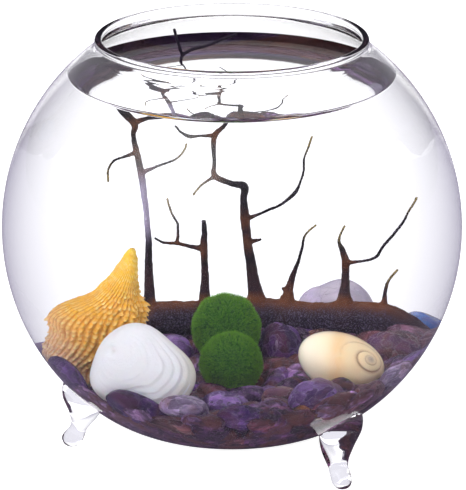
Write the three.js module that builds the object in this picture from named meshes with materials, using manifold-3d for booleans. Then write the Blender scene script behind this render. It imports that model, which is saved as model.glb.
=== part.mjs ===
// A clear glass bowl on three feet, filled with water, with a bed of tumbled amethyst, a dried sea fan,
// two moss balls, three sea shells and a blue glass bead. Millimetres, +Z up, the origin on the surface
// that the feet stand on, under the middle of the bowl. The front of the bowl faces -Y.

import * as THREE from 'three';
import { mergeVertices } from 'three/addons/utils/BufferGeometryUtils.js';
import Module from 'manifold-3d';

const wasm = await Module();
wasm.setup();

// Driving dimensions of the bowl
const BOWL_RADIUS = 75;
const BOWL_CENTRE_Z = 74;
const WALL = 1.8;
const BASE_Z = 10;
const BASE_BLEND = 5;
const SHOULDER_Z = 133.6;
const RIM_Z = 138.5;
const NECK_RADIUS = 41.2;
const BOWL_SEGMENTS = 32;
const WALL_STEPS = 11;

// Driving dimensions of the contents
const GAP = 0.3;
const LOOSE_GAP = 0.7;
const COARSE_GAP = 1.2;
const HOLE_SEGMENTS = 12;
const HOLE_DETAIL = 1;
const WATER_Z = 125.5;
const BED_Z = 37.5;
const BED_SLOPE_X = 0.04;
const BED_SLOPE_Y = 0.1;
const BED_BACK_FROM_Y = 20;
const BED_BACK_SLOPE = -0.25;
const BED_CLEAR = 2.4;
const FAN_Y = 23;

// Feet: the horizontal sections of one foot, as height, distance from the bowl's axis, shift to one
// side, half its thickness along the radius and half its width across it
const FOOT_ANGLES = [190.5, 310.5, 70.5];
const FOOT_SECTIONS = [
  { z: 0, out: 54.2, side: 0, thick: 1.7, wide: 1.7 },
  { z: 0.9, out: 54.2, side: 0, thick: 2.9, wide: 2.5 },
  { z: 3.4, out: 53.9, side: 0, thick: 3.7, wide: 3.1 },
  { z: 6.2, out: 52.2, side: 0.3, thick: 3.0, wide: 3.3 },
  { z: 9.5, out: 50.6, side: 1.0, thick: 3.9, wide: 4.6 },
  { z: 14.0, out: 49.9, side: 2.0, thick: 5.8, wide: 5.9 },
  { z: 20.0, out: 50.4, side: 3.0, thick: 7.2, wide: 6.8 },
  { z: 26.0, out: 51.0, side: 3.4, thick: 6.0, wide: 5.6 },
];
const FOOT_SIDES = 8;

const DEG = Math.PI / 180;

// ---------------------------------------------------------------- solids and meshes

/** Joins equal corners, and turns the faces outwards. */
function closedGeometry(source) {
  const bare = source.index ? source.toNonIndexed() : source.clone();
  bare.deleteAttribute('normal');
  bare.deleteAttribute('uv');
  const geometry = mergeVertices(bare, 1e-4);
  const corner = geometry.getAttribute('position');
  const kept = [];
  let volume = 0;
  for (let i = 0; i < geometry.index.count; i += 3) {
    const [a, b, c] = [0, 1, 2].map((k) => geometry.index.getX(i + k));
    if (a === b || b === c || c === a) continue;
    kept.push(a, b, c);
    const [p, q, r] = [a, b, c].map((k) => new THREE.Vector3().fromBufferAttribute(corner, k));
    volume += p.dot(q.cross(r));
  }
  geometry.setIndex(volume < 0 ? kept.reverse() : kept);
  return geometry;
}

/** A closed geometry as a solid that can be joined and cut. */
function solidOf(source) {
  const geometry = closedGeometry(source);
  return new wasm.Manifold(new wasm.Mesh({
    numProp: 3,
    vertProperties: new Float32Array(geometry.getAttribute('position').array),
    triVerts: new Uint32Array(geometry.index.array),
  }));
}

/** A solid's largest body, so that no loose scrap is left beside it. */
function largestBody(solid) {
  const bodies = solid.decompose();
  return bodies.reduce((best, body) => (body.volume() > best.volume() ? body : best));
}

/** A named mesh of a solid. */
function meshOf(name, solid, material) {
  const result = largestBody(solid).getMesh();
  const geometry = new THREE.BufferGeometry();
  geometry.setAttribute('position', new THREE.BufferAttribute(new Float32Array(result.vertProperties), 3));
  geometry.setIndex(new THREE.BufferAttribute(new Uint32Array(result.triVerts), 1));
  geometry.computeVertexNormals();
  const mesh = new THREE.Mesh(geometry, material);
  mesh.name = name;
  return mesh;
}

/** A solid turned on the bowl's upright axis from its profile, which starts and ends on the axis. */
function turned(profile) {
  const lathe = new THREE.LatheGeometry(profile.map(([r, z]) => new THREE.Vector2(r, z)), BOWL_SEGMENTS);
  return solidOf(lathe.rotateX(Math.PI / 2));
}

/** A closed skin through rings that all have the same number of points, with flat ends. */
function skinOfRings(rings) {
  const count = rings[0].length;
  const positions = [];
  const face = (...corners) => corners.forEach((p) => positions.push(p.x, p.y, p.z));
  const middle = (ring) => ring.reduce((sum, p) => sum.add(p), new THREE.Vector3()).divideScalar(count);
  for (let i = 0; i + 1 < rings.length; i += 1) {
    for (let j = 0; j < count; j += 1) {
      const next = (j + 1) % count;
      face(rings[i][j], rings[i][next], rings[i + 1][next]);
      face(rings[i][j], rings[i + 1][next], rings[i + 1][j]);
    }
  }
  const [first, last] = [rings[0], rings[rings.length - 1]];
  for (let j = 0; j < count; j += 1) {
    const next = (j + 1) % count;
    face(first[next], first[j], middle(first));
    face(last[j], last[next], middle(last));
  }
  const geometry = new THREE.BufferGeometry();
  geometry.setAttribute('position', new THREE.Float32BufferAttribute(positions, 3));
  return geometry;
}

/** A ball of triangles, moved point by point by a rule from the unit direction to a place. */
function shapedBall(detail, rule) {
  const geometry = closedGeometry(new THREE.IcosahedronGeometry(1, detail));
  const corner = geometry.getAttribute('position');
  for (let i = 0; i < corner.count; i += 1) {
    const place = rule(new THREE.Vector3().fromBufferAttribute(corner, i).normalize());
    corner.setXYZ(i, place.x, place.y, place.z);
  }
  return geometry;
}

// ---------------------------------------------------------------- the glass bowl

/** The height of the bowl's wall on the lower half, flattened softly over the base. */
function wallHeight(drop, inset) {
  const ball = BOWL_CENTRE_Z - (BOWL_RADIUS - inset) * Math.cos(drop);
  const base = BASE_Z + inset;
  return (ball + base + Math.hypot(ball - base, BASE_BLEND)) / 2;
}

/** The bowl's round wall, from the axis up to a height, as points of radius and height. */
function wallProfile(inset, topZ) {
  const radius = BOWL_RADIUS - inset;
  const end = Math.acos((BOWL_CENTRE_Z - SHOULDER_Z) / BOWL_RADIUS);
  const whole = Array.from({ length: WALL_STEPS + 2 }, (_, i) => {
    const drop = (end * i) / WALL_STEPS;
    return [radius * Math.sin(drop), wallHeight(drop, inset)];
  });
  const above = whole.findIndex(([, z]) => z >= topZ);
  const [[r0, z0], [r1, z1]] = whole.slice(above - 1, above + 1);
  return [...whole.slice(0, above), [r0 + ((r1 - r0) * (topZ - z0)) / (z1 - z0), topZ]];
}

/** All the space inside the wall at an inset from the glass's outer face, up to a flat top. */
function cavity(inset, topZ) {
  return turned([...wallProfile(inset, topZ), [0, topZ]]);
}

/** One foot: a drop of glass with a narrow waist and a toe that rests on a small flat spot. */
function foot(angle) {
  const rings = FOOT_SECTIONS.map(({ z, out, side, thick, wide }) => (
    Array.from({ length: FOOT_SIDES }, (_, j) => {
      const turn = (j * 2 * Math.PI) / FOOT_SIDES;
      return new THREE.Vector3(out + thick * Math.cos(turn), side + wide * Math.sin(turn), z);
    })
  ));
  return solidOf(skinOfRings(rings).rotateZ(angle * DEG));
}

/** The blown bowl with its waisted neck, beaded lip and three fused feet, as one piece of glass. */
function bowl() {
  const lip = [
    [NECK_RADIUS + 1.7, SHOULDER_Z + 1.7],
    [NECK_RADIUS + 2.5, RIM_Z - 1.2],
    [NECK_RADIUS + 2.1, RIM_Z - 0.25],
    [NECK_RADIUS + 1.25, RIM_Z],
    [NECK_RADIUS + 0.3, RIM_Z - 0.4],
    [NECK_RADIUS, RIM_Z - 1.4],
    [NECK_RADIUS, SHOULDER_Z + 1.6],
  ];
  const outside = wallProfile(0, SHOULDER_Z);
  const inside = wallProfile(WALL, SHOULDER_Z - 1.4).reverse();
  const glass = turned([...outside, ...lip, ...inside]);
  const inner = cavity(WALL / 2, SHOULDER_Z);
  return FOOT_ANGLES.reduce((sum, angle) => sum.add(foot(angle).subtract(inner)), glass);
}

// ---------------------------------------------------------------- the sea fan

// Each stem or twig: points of x, y, z and radius, from its root to its tip, y being counted from the
// plane that the fan grew in
const FAN_RIDGE = [
  [-20.5, 0, 42.5, 2.6], [-17, 0, 43.9, 3.9], [-9, 0.6, 43.8, 3.9], [0, 1.0, 44.1, 4.1],
  [9, 0.6, 44.1, 4.1], [18, 0, 43.8, 4.0], [27, -0.6, 44.1, 4.1], [33.6, 0, 43.6, 4.1],
  [37.4, 0.4, 41.9, 3.5], [39.6, 0.6, 40.6, 2.9], [43.5, 1.0, 40.0, 2.6],
];
const FAN_BRANCHES = [
  [[-18.0, 0, 44, 2.2], [-18.4, 0, 48, 1.5], [-18.9, 0, 55, 1.1], [-19.1, 0.3, 62.5, 0.85],
    [-19.8, 0.5, 70, 0.8], [-20.8, 0.5, 77.5, 0.95], [-22.2, 0.4, 84.5, 0.85],
    [-23.0, 0, 88.5, 0.7], [-22.9, -0.3, 91.6, 1.0], [-26.4, -0.8, 96, 1.1],
    [-29.2, -1.2, 103, 0.7], [-30.4, -1.6, 110.5, 0.4]],
  [[-22.9, -0.3, 91.6, 0.9], [-19.6, 0, 92.6, 0.6], [-14.6, 0.6, 93.6, 0.55],
    [-12.6, 1.0, 100, 0.55], [-13.6, 1.2, 109, 0.5], [-15.6, 1.2, 118, 0.5],
    [-16.2, 1.2, 125.5, 0.55], [-6.5, 1.2, 129.4, 0.55], [1.6, 1.6, 132.6, 0.5]],
  [[-16.2, 1.2, 125.0, 0.55], [-18.0, 1.2, 130.4, 0.55], [-19.0, 0.8, 134.4, 0.5]],
  [[-15.8, 1.2, 121.0, 0.5], [-21.0, 1.6, 118.0, 0.45], [-25.6, 2.0, 117.6, 0.4]],
  [[-22.0, 0.4, 84.0, 0.7], [-25.4, -0.4, 83.1, 0.45], [-27.6, -1.0, 82.0, 0.42],
    [-28.8, -1.4, 79.8, 0.4], [-28.6, -1.6, 77.2, 0.4]],
  [[-20.7, 0.5, 78.8, 0.7], [-17.0, 1.0, 80.3, 0.45], [-13.2, 1.6, 81.6, 0.42],
    [-11.2, 2.0, 83.5, 0.4], [-10.4, 2.2, 85.4, 0.4]],
  [[-6.0, 0.4, 44, 2.6], [-6.1, 0.4, 49.5, 1.35], [-6.2, 0.2, 56, 0.95], [-6.5, 0, 61, 1.0],
    [-6.3, 0, 64, 0.8], [-6.5, 0, 67.2, 0.65]],
  [[-6.6, 0, 60.2, 0.9], [-9.4, -0.4, 60.9, 0.6], [-12.7, -0.8, 61.8, 0.55],
    [-15.7, -1.2, 62.3, 0.45], [-17.8, -1.6, 63.6, 0.4]],
  [[-12.6, -0.8, 61.6, 0.55], [-12.4, -0.4, 66, 0.45], [-13.9, 0, 69, 0.42], [-15, 0.2, 72.7, 0.4]],
  [[6.0, 0.8, 44, 3.2], [5.2, 0.8, 50.5, 1.75], [4.2, 0.6, 57.5, 1.3], [3.4, 0.4, 63, 1.15],
    [3.0, 0.2, 68, 1.25], [2.7, 0, 72.5, 0.95], [2.8, 0, 75.6, 1.1], [-0.3, -0.4, 76.5, 0.8],
    [-4.0, -0.8, 78.6, 0.85], [-4.1, -0.6, 82, 0.6], [-4.1, -0.3, 88.2, 0.8],
    [-1.6, 0, 91.4, 0.6], [0.8, 0.4, 97, 0.5], [1.6, 0.8, 105, 0.45], [-1.0, 1.0, 112, 0.42],
    [-4.2, 1.0, 118.5, 0.4]],
  [[-4.1, -0.3, 88.5, 0.7], [-7.4, -0.8, 88.7, 0.45], [-10, -1.2, 88.7, 0.6],
    [-12, -1.6, 90, 0.42], [-13.4, -2.0, 91.8, 0.4]],
  [[-4.2, -0.8, 78.4, 0.6], [-6.8, -1.4, 76.8, 0.42], [-9.1, -2.0, 74.2, 0.4]],
  [[3.2, 0.2, 67.4, 0.8], [6.0, -0.4, 68.8, 0.5], [8.7, -1.0, 70.3, 0.48], [11.4, -1.4, 71.7, 0.45],
    [14.3, -1.6, 74.3, 0.6], [15.8, -1.4, 76.6, 0.45], [16.7, -1.0, 80, 0.42],
    [17.1, -0.6, 83.5, 0.4], [18.9, 0, 88.2, 0.4]],
  [[3.5, 0.4, 61.8, 0.8], [6.8, 1.0, 62.4, 0.4]],
  [[12.0, 0.4, 45, 2.7], [12.8, 0.4, 50.2, 1.2], [13.8, 0.2, 54, 0.8], [15.2, -0.2, 57.5, 0.55],
    [16.3, -0.6, 61.5, 0.48], [16.9, -1.0, 64, 0.42], [19.6, -1.6, 66.7, 0.4]],
  [[13.0, 0.4, 50.8, 0.9], [11.2, 0.8, 50.6, 0.4]],
  [[25.0, -0.4, 45, 2.9], [25.2, -0.4, 50, 1.4], [25.6, -0.4, 54, 1.0], [25.7, -0.4, 57.5, 1.0],
    [25.1, -0.2, 60, 0.8], [24.3, 0, 62.6, 0.45], [25.8, 0.2, 66, 0.4]],
  [[25.8, -0.4, 57.2, 0.8], [28.5, -0.8, 57.6, 0.45], [30.8, -1.2, 58.2, 0.45], [32.7, -1.4, 59.2, 0.5],
    [34, -1.6, 61.3, 0.45], [37, -1.8, 64.9, 0.48], [38.7, -1.8, 67.3, 0.42],
    [40.3, -1.6, 70.2, 0.4], [42, -1.2, 73.4, 0.4]],
  [[33.2, 0, 44.5, 1.9], [33.4, 0, 48.8, 0.7], [34.3, 0.4, 52.3, 0.45], [36.4, 1.0, 55.4, 0.4]],
];
const STEM_SIDES = 6;
const TWIG_SIDES = 4;
const TWIG_RADIUS = 1.2;
const RIDGE_SIDES = 8;
const RIDGE_FLATNESS = 0.85;
const FAN_HOLE_SIDES = 3;

/** A tapered stem along its points, grown by a margin, with rings set across its direction. */
function stem(points, sides, flatness, margin) {
  const centres = points.map(([x, y, z]) => new THREE.Vector3(x, y + FAN_Y, z));
  const first = centres[0].clone().sub(centres[1]).setLength(margin);
  const last = centres[centres.length - 1].clone().sub(centres[centres.length - 2]).setLength(margin);
  centres[0].add(first);
  centres[centres.length - 1].add(last);
  const depth = new THREE.Vector3(0, 1, 0);
  const rings = centres.map((centre, i) => {
    const ahead = centres[Math.min(i + 1, centres.length - 1)];
    const behind = centres[Math.max(i - 1, 0)];
    const across = ahead.clone().sub(behind).cross(depth).normalize();
    const radius = points[i][3] + margin;
    return Array.from({ length: sides }, (_, j) => {
      const turn = ((j + 0.5) * 2 * Math.PI) / sides;
      return centre.clone()
        .addScaledVector(across, radius * Math.cos(turn))
        .addScaledVector(depth, radius * flatness * Math.sin(turn));
    });
  });
  return solidOf(skinOfRings(rings));
}

/** The whole dried fan: the ridge that it grew from, with every stem and twig. */
function seaFan() {
  const ridge = stem(FAN_RIDGE, RIDGE_SIDES, RIDGE_FLATNESS, 0);
  return FAN_BRANCHES.reduce((sum, points) => (
    sum.add(stem(points, points[0][3] > TWIG_RADIUS ? STEM_SIDES : TWIG_SIDES, 1, 0))
  ), ridge);
}

/** The plain hole that the fan stands in: three-sided round every stem, and clear of it. */
function fanHole() {
  const clear = ([x, y, z, radius]) => [x, y, z, (radius + GAP) / Math.cos(Math.PI / FAN_HOLE_SIDES)];
  const ridge = stem(FAN_RIDGE, RIDGE_SIDES, RIDGE_FLATNESS, GAP);
  return FAN_BRANCHES.reduce((sum, points) => (
    sum.add(stem(points.map(clear), FAN_HOLE_SIDES, 1, 0))
  ), ridge);
}

// ---------------------------------------------------------------- moss balls

const MOSS_BALLS = [
  { name: 'moss_ball_front', centre: [-0.2, -15, 43.2], radius: 7.9, seed: 1 },
  { name: 'moss_ball_rear', centre: [-1.4, 1.9, 47.6], radius: 8.3, seed: 2 },
];
const MOSS_DETAIL = 3;
const MOSS_TUFTS = 11;
const MOSS_RELIEF = 0.04;

/** A ball of moss whose surface rises and falls in small tufts, grown by a margin. */
function mossBall({ centre, radius, seed }, margin, detail) {
  return solidOf(shapedBall(detail, (n) => {
    const tufts = Math.sin(MOSS_TUFTS * n.x + seed) + Math.sin(MOSS_TUFTS * n.y + 2 * seed)
      + Math.sin(MOSS_TUFTS * n.z + 3 * seed);
    const reach = radius * (1 + (MOSS_RELIEF * tufts) / 3) + margin;
    return n.multiplyScalar(reach).add(new THREE.Vector3(...centre));
  }));
}

// ---------------------------------------------------------------- shells

// The cone-shaped orange shell: level sections, as height, left edge, right edge and half the depth
const CONE_SHELL_Y = -11.5;
const CONE_SHELL_SECTIONS = [
  [34.6, -45.0, -33.5, 4.6], [37.5, -48.6, -29.0, 7.6], [41.2, -51.4, -25.6, 9.0],
  [45.2, -48.9, -22.8, 9.6], [49.0, -47.2, -21.8, 9.6], [53.3, -47.3, -21.5, 9.2],
  [56.2, -44.6, -21.5, 8.2], [58.2, -40.0, -22.2, 6.6], [60.2, -35.6, -23.2, 5.0],
  [64.2, -31.6, -23.7, 3.9], [68.0, -28.8, -23.7, 2.6], [71.0, -27.0, -24.2, 1.4],
  [72.2, -25.9, -24.6, 0.6],
];
const CONE_SHELL_CORDS = 14;
const CONE_SHELL_SEGMENTS = 42;
const CORD_HEIGHT = 0.06;
const CORD_TWIST = 0.9;

/** The cone-shaped shell with cords that wind down from its tip, or plain and grown by a margin. */
function coneShell(margin, segments, corded) {
  const last = CONE_SHELL_SECTIONS.length - 1;
  const rings = CONE_SHELL_SECTIONS.map(([z, left, right, depth], i) => {
    const lift = i === 0 ? -margin : (i === last ? margin : 0);
    const twist = CORD_TWIST * (1 - i / last);
    return Array.from({ length: segments }, (_, j) => {
      const turn = (j * 2 * Math.PI) / segments;
      const cord = 1 + CORD_HEIGHT * (corded ? Math.cos(CONE_SHELL_CORDS * (turn + twist)) : 1);
      return new THREE.Vector3(
        (left + right) / 2 + (((right - left) / 2) * cord + margin) * Math.cos(turn),
        CONE_SHELL_Y + (depth * cord + margin) * Math.sin(turn),
        z + lift,
      );
    });
  });
  return solidOf(skinOfRings(rings));
}

// The white clam valve, which stands on its edge and turns its round back to the front
const CLAM = {
  centre: [-25.4, -35.1, 44.0],
  facing: [-0.05, -0.86, 0.51],
  umbo: 148,
  long: 14.6,
  short: 15.0,
  dome: 6.6,
  thick: 2.0,
};
// Waves of the valve's outline: how often round it, height as a share of its size, and phase
const CLAM_OUTLINE_SIZE = 0.974;
const CLAM_OUTLINE = [[2, 0.062, -1.69], [3, 0.078, 2.71], [4, 0.033, 2.35], [5, 0.028, -0.14]];
const CLAM_RINGS = [1, 0.93, 0.8, 0.64, 0.44, 0.22];
const CLAM_SEGMENTS = 22;
const CLAM_GROWTH_LINES = 5;
const CLAM_LINE_HEIGHT = 0.22;
const CLAM_UMBO_AT = 0.72;
const CLAM_RIM_SHARE = 0.96;
const CLAM_LEAN = 0.25;

/** How far a point of the valve's unit disc lies from the umbo, as a share of the valve's growth. */
function clamGrowth(x, y) {
  const dx = x - CLAM_UMBO_AT;
  const b = dx * CLAM_UMBO_AT;
  const c = dx * dx + y * y;
  const room = 1 - CLAM_UMBO_AT * CLAM_UMBO_AT;
  return (b + Math.sqrt(b * b + c * room)) / room;
}

/** The reach of the valve's outline at a turn round it, as a share of its size. */
function clamReach(turn) {
  return CLAM_OUTLINE.reduce((sum, [times, height, phase]) => (
    sum + height * Math.cos(times * turn + phase)
  ), CLAM_OUTLINE_SIZE);
}

/** The clam valve: a dome with growth lines round its umbo, hollow or filled, grown by a margin. */
function clamValve(margin, hollow, segments) {
  const facing = new THREE.Vector3(...CLAM.facing).normalize();
  const level = new THREE.Vector3(0, 0, 1).cross(facing).normalize();
  const upward = facing.clone().cross(level);
  const along = level.clone().multiplyScalar(Math.cos(CLAM.umbo * DEG))
    .addScaledVector(upward, Math.sin(CLAM.umbo * DEG));
  const across = facing.clone().cross(along);
  const ringAt = (share, height, grow) => Array.from({ length: segments }, (_, j) => {
    const turn = (j * 2 * Math.PI) / segments;
    const [x, y] = [share * Math.cos(turn), share * Math.sin(turn)];
    const reach = clamReach(turn);
    return new THREE.Vector3(...CLAM.centre)
      .addScaledVector(along, x * (CLAM.long * reach + grow))
      .addScaledVector(across, y * (CLAM.short * reach + grow))
      .addScaledVector(facing, height(x, y, share));
  });
  const peak = (x, share) => Math.sqrt(Math.max(0, 1 - share * share)) * (1 + CLAM_LEAN * x);
  const outside = (x, y, share) => CLAM.dome * peak(x, share) + margin
    + CLAM_LINE_HEIGHT * Math.cos(2 * Math.PI * CLAM_GROWTH_LINES * clamGrowth(x, y));
  const inside = (x, y, share) => (CLAM.dome - CLAM.thick) * peak(x, share) - margin - 2 * CLAM_LINE_HEIGHT;
  const back = hollow
    ? CLAM_RINGS.slice().reverse().map((share) => ringAt(share * CLAM_RIM_SHARE, inside, 0))
    : [ringAt(1, () => -margin - 2 * CLAM_LINE_HEIGHT, margin)];
  return solidOf(skinOfRings([...back, ...CLAM_RINGS.map((share) => ringAt(share, outside, margin))]));
}

// The moon snail's shell, tilted with its right end down, its spire turned to the front right
const SNAIL = {
  centre: [28.3, -17.5, 43.1],
  spire: [0.543, -0.521, 0.658],
  half: [12.2, 9.6, 7.6],
  tilt: 24.6,
  turns: 2.4,
  groove: 0.7,
};
const SNAIL_SEGMENTS = 22;
const SNAIL_RINGS = [0.06, 0.13, 0.21, 0.31, 0.43, 0.6, 0.85, 1.15, 1.5, 1.85, 2.2, 2.55, 2.85];
const SNAIL_REACH = 0.52;
const SNAIL_TIP = 0.05;
const SNAIL_FADE = 3;
const SNAIL_GROOVE_SHARPNESS = 9;

/** The round shell: a ball about its spire with a spiral groove between the whorls. */
function snailShell(margin, segments) {
  const spire = new THREE.Vector3(...SNAIL.spire).normalize();
  const side = new THREE.Vector3(0, 0, 1).cross(spire).normalize();
  const up = spire.clone().cross(side);
  const half = new THREE.Vector3(...SNAIL.half);
  const tilt = new THREE.Euler(0, SNAIL.tilt * DEG, 0);
  const rings = SNAIL_RINGS.map((slant) => Array.from({ length: segments }, (_, j) => {
    const turn = (j * 2 * Math.PI) / segments;
    const n = spire.clone().multiplyScalar(Math.cos(slant))
      .addScaledVector(side, Math.sin(slant) * Math.cos(turn))
      .addScaledVector(up, Math.sin(slant) * Math.sin(turn));
    const grown = Math.log(Math.max(slant, SNAIL_TIP) / SNAIL_REACH);
    const whorl = grown * (SNAIL.turns / 2) - turn / (2 * Math.PI);
    const inWhorl = whorl - Math.floor(whorl);
    const past = Math.max(0, slant - SNAIL_REACH);
    const fade = Math.min(1, slant * SNAIL_FADE) * Math.exp(-past * SNAIL_FADE);
    const dip = SNAIL.groove * fade * Math.exp(-Math.min(inWhorl, 1 - inWhorl) * SNAIL_GROOVE_SHARPNESS);
    return n.clone().multiply(half)
      .addScaledVector(n, margin - dip)
      .applyEuler(tilt)
      .add(new THREE.Vector3(...SNAIL.centre));
  }));
  return solidOf(skinOfRings(rings));
}

// ---------------------------------------------------------------- stones and the bead

// Tumbled amethyst stones that are seen one by one: centre, half sizes, turns about x, y and z in
// degrees, seed of the lumps, and colour
const STONES = [
  {
    name: 'stone_long_purple', at: [-28.3, -45.3, 33.0], half: [11, 5.4, 6.3],
    turn: [0, 26, 24], seed: 3, tint: 0x4b2f63,
  },
  {
    name: 'stone_blue_violet', at: [-47.3, -27.0, 36.2], half: [6.6, 8.6, 7.2],
    turn: [20, 30, 26], seed: 5, tint: 0x57517f,
  },
  {
    name: 'stone_grey_pink', at: [-13.6, -46.2, 35.6], half: [7.2, 4.6, 4.2],
    turn: [0, 8, 12], seed: 7, tint: 0x8a7280,
  },
  {
    name: 'stone_white_edge', at: [-16.6, -50.6, 28.6], half: [7.6, 4.4, 4.4],
    turn: [10, 6, 16], seed: 9, tint: 0x7d5a55,
  },
  {
    name: 'stone_front_right', at: [24.6, -41.5, 37.6], half: [8.4, 5.6, 6.0],
    turn: [0, 14, -20], seed: 11, tint: 0x6b5089,
  },
  {
    name: 'stone_red_brown', at: [38.8, -34.6, 33.6], half: [7.6, 5.2, 6.2],
    turn: [0, -20, -38], seed: 13, tint: 0x4f2f3e,
  },
  {
    name: 'stone_lavender_right', at: [47.6, -22.5, 35.4], half: [5.6, 9.2, 7.2],
    turn: [0, -24, -24], seed: 15, tint: 0x837aa6,
  },
  {
    name: 'stone_wine', at: [37.8, 5.6, 41.2], half: [6.6, 5.4, 4.6],
    turn: [0, 14, 10], seed: 17, tint: 0x6d4761,
  },
  {
    name: 'stone_round_brown', at: [47.4, 10.0, 41.2], half: [4.8, 4.6, 4.4],
    turn: [0, 0, 30], seed: 19, tint: 0x5a4254,
  },
  {
    name: 'stone_dark_violet', at: [11.6, 7.4, 41.2], half: [5.0, 4.6, 5.4],
    turn: [0, 10, 20], seed: 21, tint: 0x46346a,
  },
  {
    name: 'stone_pale_behind', at: [20.8, 41.5, 40.6], half: [7.2, 5.6, 5.8],
    turn: [0, -10, 0], seed: 23, tint: 0xb9a9cc,
  },
  {
    name: 'stone_lavender_mid', at: [-13.2, 1.6, 41.2], half: [4.4, 4.8, 4.8],
    turn: [0, 20, 0], seed: 25, tint: 0x7e6b93,
  },
  {
    name: 'stone_front_low', at: [3.6, -52.6, 33.4], half: [7.6, 4.8, 4.6],
    turn: [0, 6, 0], seed: 31, tint: 0x4c3b60,
  },
  {
    name: 'stone_chip_front', at: [12.6, -29.5, 36.4], half: [4.6, 3.8, 3.2],
    turn: [10, 20, 30], seed: 33, tint: 0x6a4e3c,
  },
  {
    name: 'stone_by_moss', at: [-1.4, -32.4, 35.0], half: [6.2, 4.8, 3.8],
    turn: [0, 10, 40], seed: 37, tint: 0x604a78,
  },
];
const BACK_STONES = 7;
const BACK_STONE_FROM = -8;
const BACK_STONE_SWEEP = 198;
const BACK_STONE_OUT = 50;
const BACK_STONE_OUT_SWING = 4;
const BACK_STONE_OUT_RATE = 2.1;
const BACK_STONE_SIZE = 5.4;
const BACK_STONE_SIZE_SWING = 1.4;
const BACK_STONE_SIZE_RATE = 1.7;
const BACK_STONE_SIZE_PHASE = 0.6;
const BACK_STONE_TILT = 9;
const BACK_STONE_FIRST_SEED = 41;
const BACK_STONE_SEED_STEP = 2;
const BACK_STONE_LIFT = -0.6;
const BACK_STONE_FORM = [1.3, 1, 0.72];
const BACK_STONE_TINTS = [0x5d4a7c, 0x8c7fae, 0x6a4b63, 0x493662, 0xa193bd];
const STONE_BOXINESS = 2.5;
const STONE_DETAIL = 1;
const PLAIN_HOLE_SHARE = 1.45;
const BEAD = { centre: [37.6, 29.3, 42.5], radius: 2.3 };

// Low waves over a stone: height, turns along x, y and z, and how far the seed moves them on
const LUMPS = [
  { height: 0.07, along: new THREE.Vector3(2.3, 0, 0), phase: 1.9 },
  { height: 0.06, along: new THREE.Vector3(0, 2.9, 0), phase: 2.7 },
  { height: 0.05, along: new THREE.Vector3(0, 0, 3.3), phase: 3.1 },
  { height: 0.035, along: new THREE.Vector3(5.1, 5.1, 0), phase: 0.7 },
];

/** Low waves that make one stone unlike the next. */
function lumps(n, seed) {
  return LUMPS.reduce((sum, { height, along, phase }) => (
    sum + height * Math.sin(along.dot(n) + phase * seed)
  ), 1);
}

/** A tumbled stone, grown by a margin. */
function stone({ at, half, turn, seed }, margin, detail) {
  const tilt = new THREE.Euler(...turn.map((angle) => angle * DEG));
  return solidOf(shapedBall(detail, (n) => {
    const sum = n.toArray().reduce((total, v) => total + Math.abs(v) ** STONE_BOXINESS, 0);
    const reach = lumps(n, seed) / sum ** (1 / STONE_BOXINESS);
    const [a, b, c] = half.map((v) => v * reach + margin);
    return new THREE.Vector3(a * n.x, b * n.y, c * n.z).applyEuler(tilt).add(new THREE.Vector3(...at));
  }));
}

/** A stone's plain hole in the water: one coarse block, big enough to clear all its lumps. */
function plainHole(item) {
  return stone({ ...item, half: item.half.map((v) => v * PLAIN_HOLE_SHARE) }, GAP, 0);
}

/** The height of the bed's mean surface at a place: it rises to the back, and falls behind the fan. */
function bedHeight(x, y) {
  const behind = Math.max(0, y - BED_BACK_FROM_Y);
  return BED_Z + BED_SLOPE_X * x + BED_SLOPE_Y * (y - behind) + BED_BACK_SLOPE * behind;
}

/** The stones that lie round the sides and the back, behind the fan, set out by a rule. */
function backStones() {
  return Array.from({ length: BACK_STONES }, (_, i) => {
    const angle = (BACK_STONE_FROM + (BACK_STONE_SWEEP * i) / (BACK_STONES - 1)) * DEG;
    const out = BACK_STONE_OUT + BACK_STONE_OUT_SWING * Math.sin(BACK_STONE_OUT_RATE * i);
    const [x, y] = [out * Math.cos(angle), out * Math.sin(angle)];
    const swing = Math.sin(BACK_STONE_SIZE_RATE * i + BACK_STONE_SIZE_PHASE);
    const size = BACK_STONE_SIZE + BACK_STONE_SIZE_SWING * swing;
    return {
      name: `stone_round_the_back_${i + 1}`,
      at: [x, y, bedHeight(x, y) + BACK_STONE_LIFT],
      half: BACK_STONE_FORM.map((share) => share * size),
      turn: [BACK_STONE_TILT * Math.sin(i), BACK_STONE_TILT * Math.cos(2 * i), angle / DEG + 90],
      seed: BACK_STONE_FIRST_SEED + BACK_STONE_SEED_STEP * i,
      tint: BACK_STONE_TINTS[i % BACK_STONE_TINTS.length],
    };
  });
}

// ---------------------------------------------------------------- the bed of amethyst chips

const BED_SEGMENTS = 40;
const BED_WALL_STEPS = 5;
const BED_TOP_STEPS = 7;
const BED_EDGE_STEPS = 12;
const PEBBLE_SEED = 20241;
const PEBBLE_DRAWS = 6000;
const PEBBLE_REACH = 7.5;
const PEBBLE_RELIEF = 2.6;
const BED_WALL_CLEAR = 1.4;
const BED_RIM_CLEAR = 2.4;
const BED_RIM_DROP = 1.6;
const BED_TOP_LIFT = BED_CLEAR - 0.5;
const BED_WALL_RELIEF = 0.75 * PEBBLE_RELIEF;

/** A repeatable draw of numbers from 0 to 1. */
function drawFrom(seed) {
  let state = seed;
  return () => {
    state = (state * 16807) % 2147483647;
    return state / 2147483647;
  };
}

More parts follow.
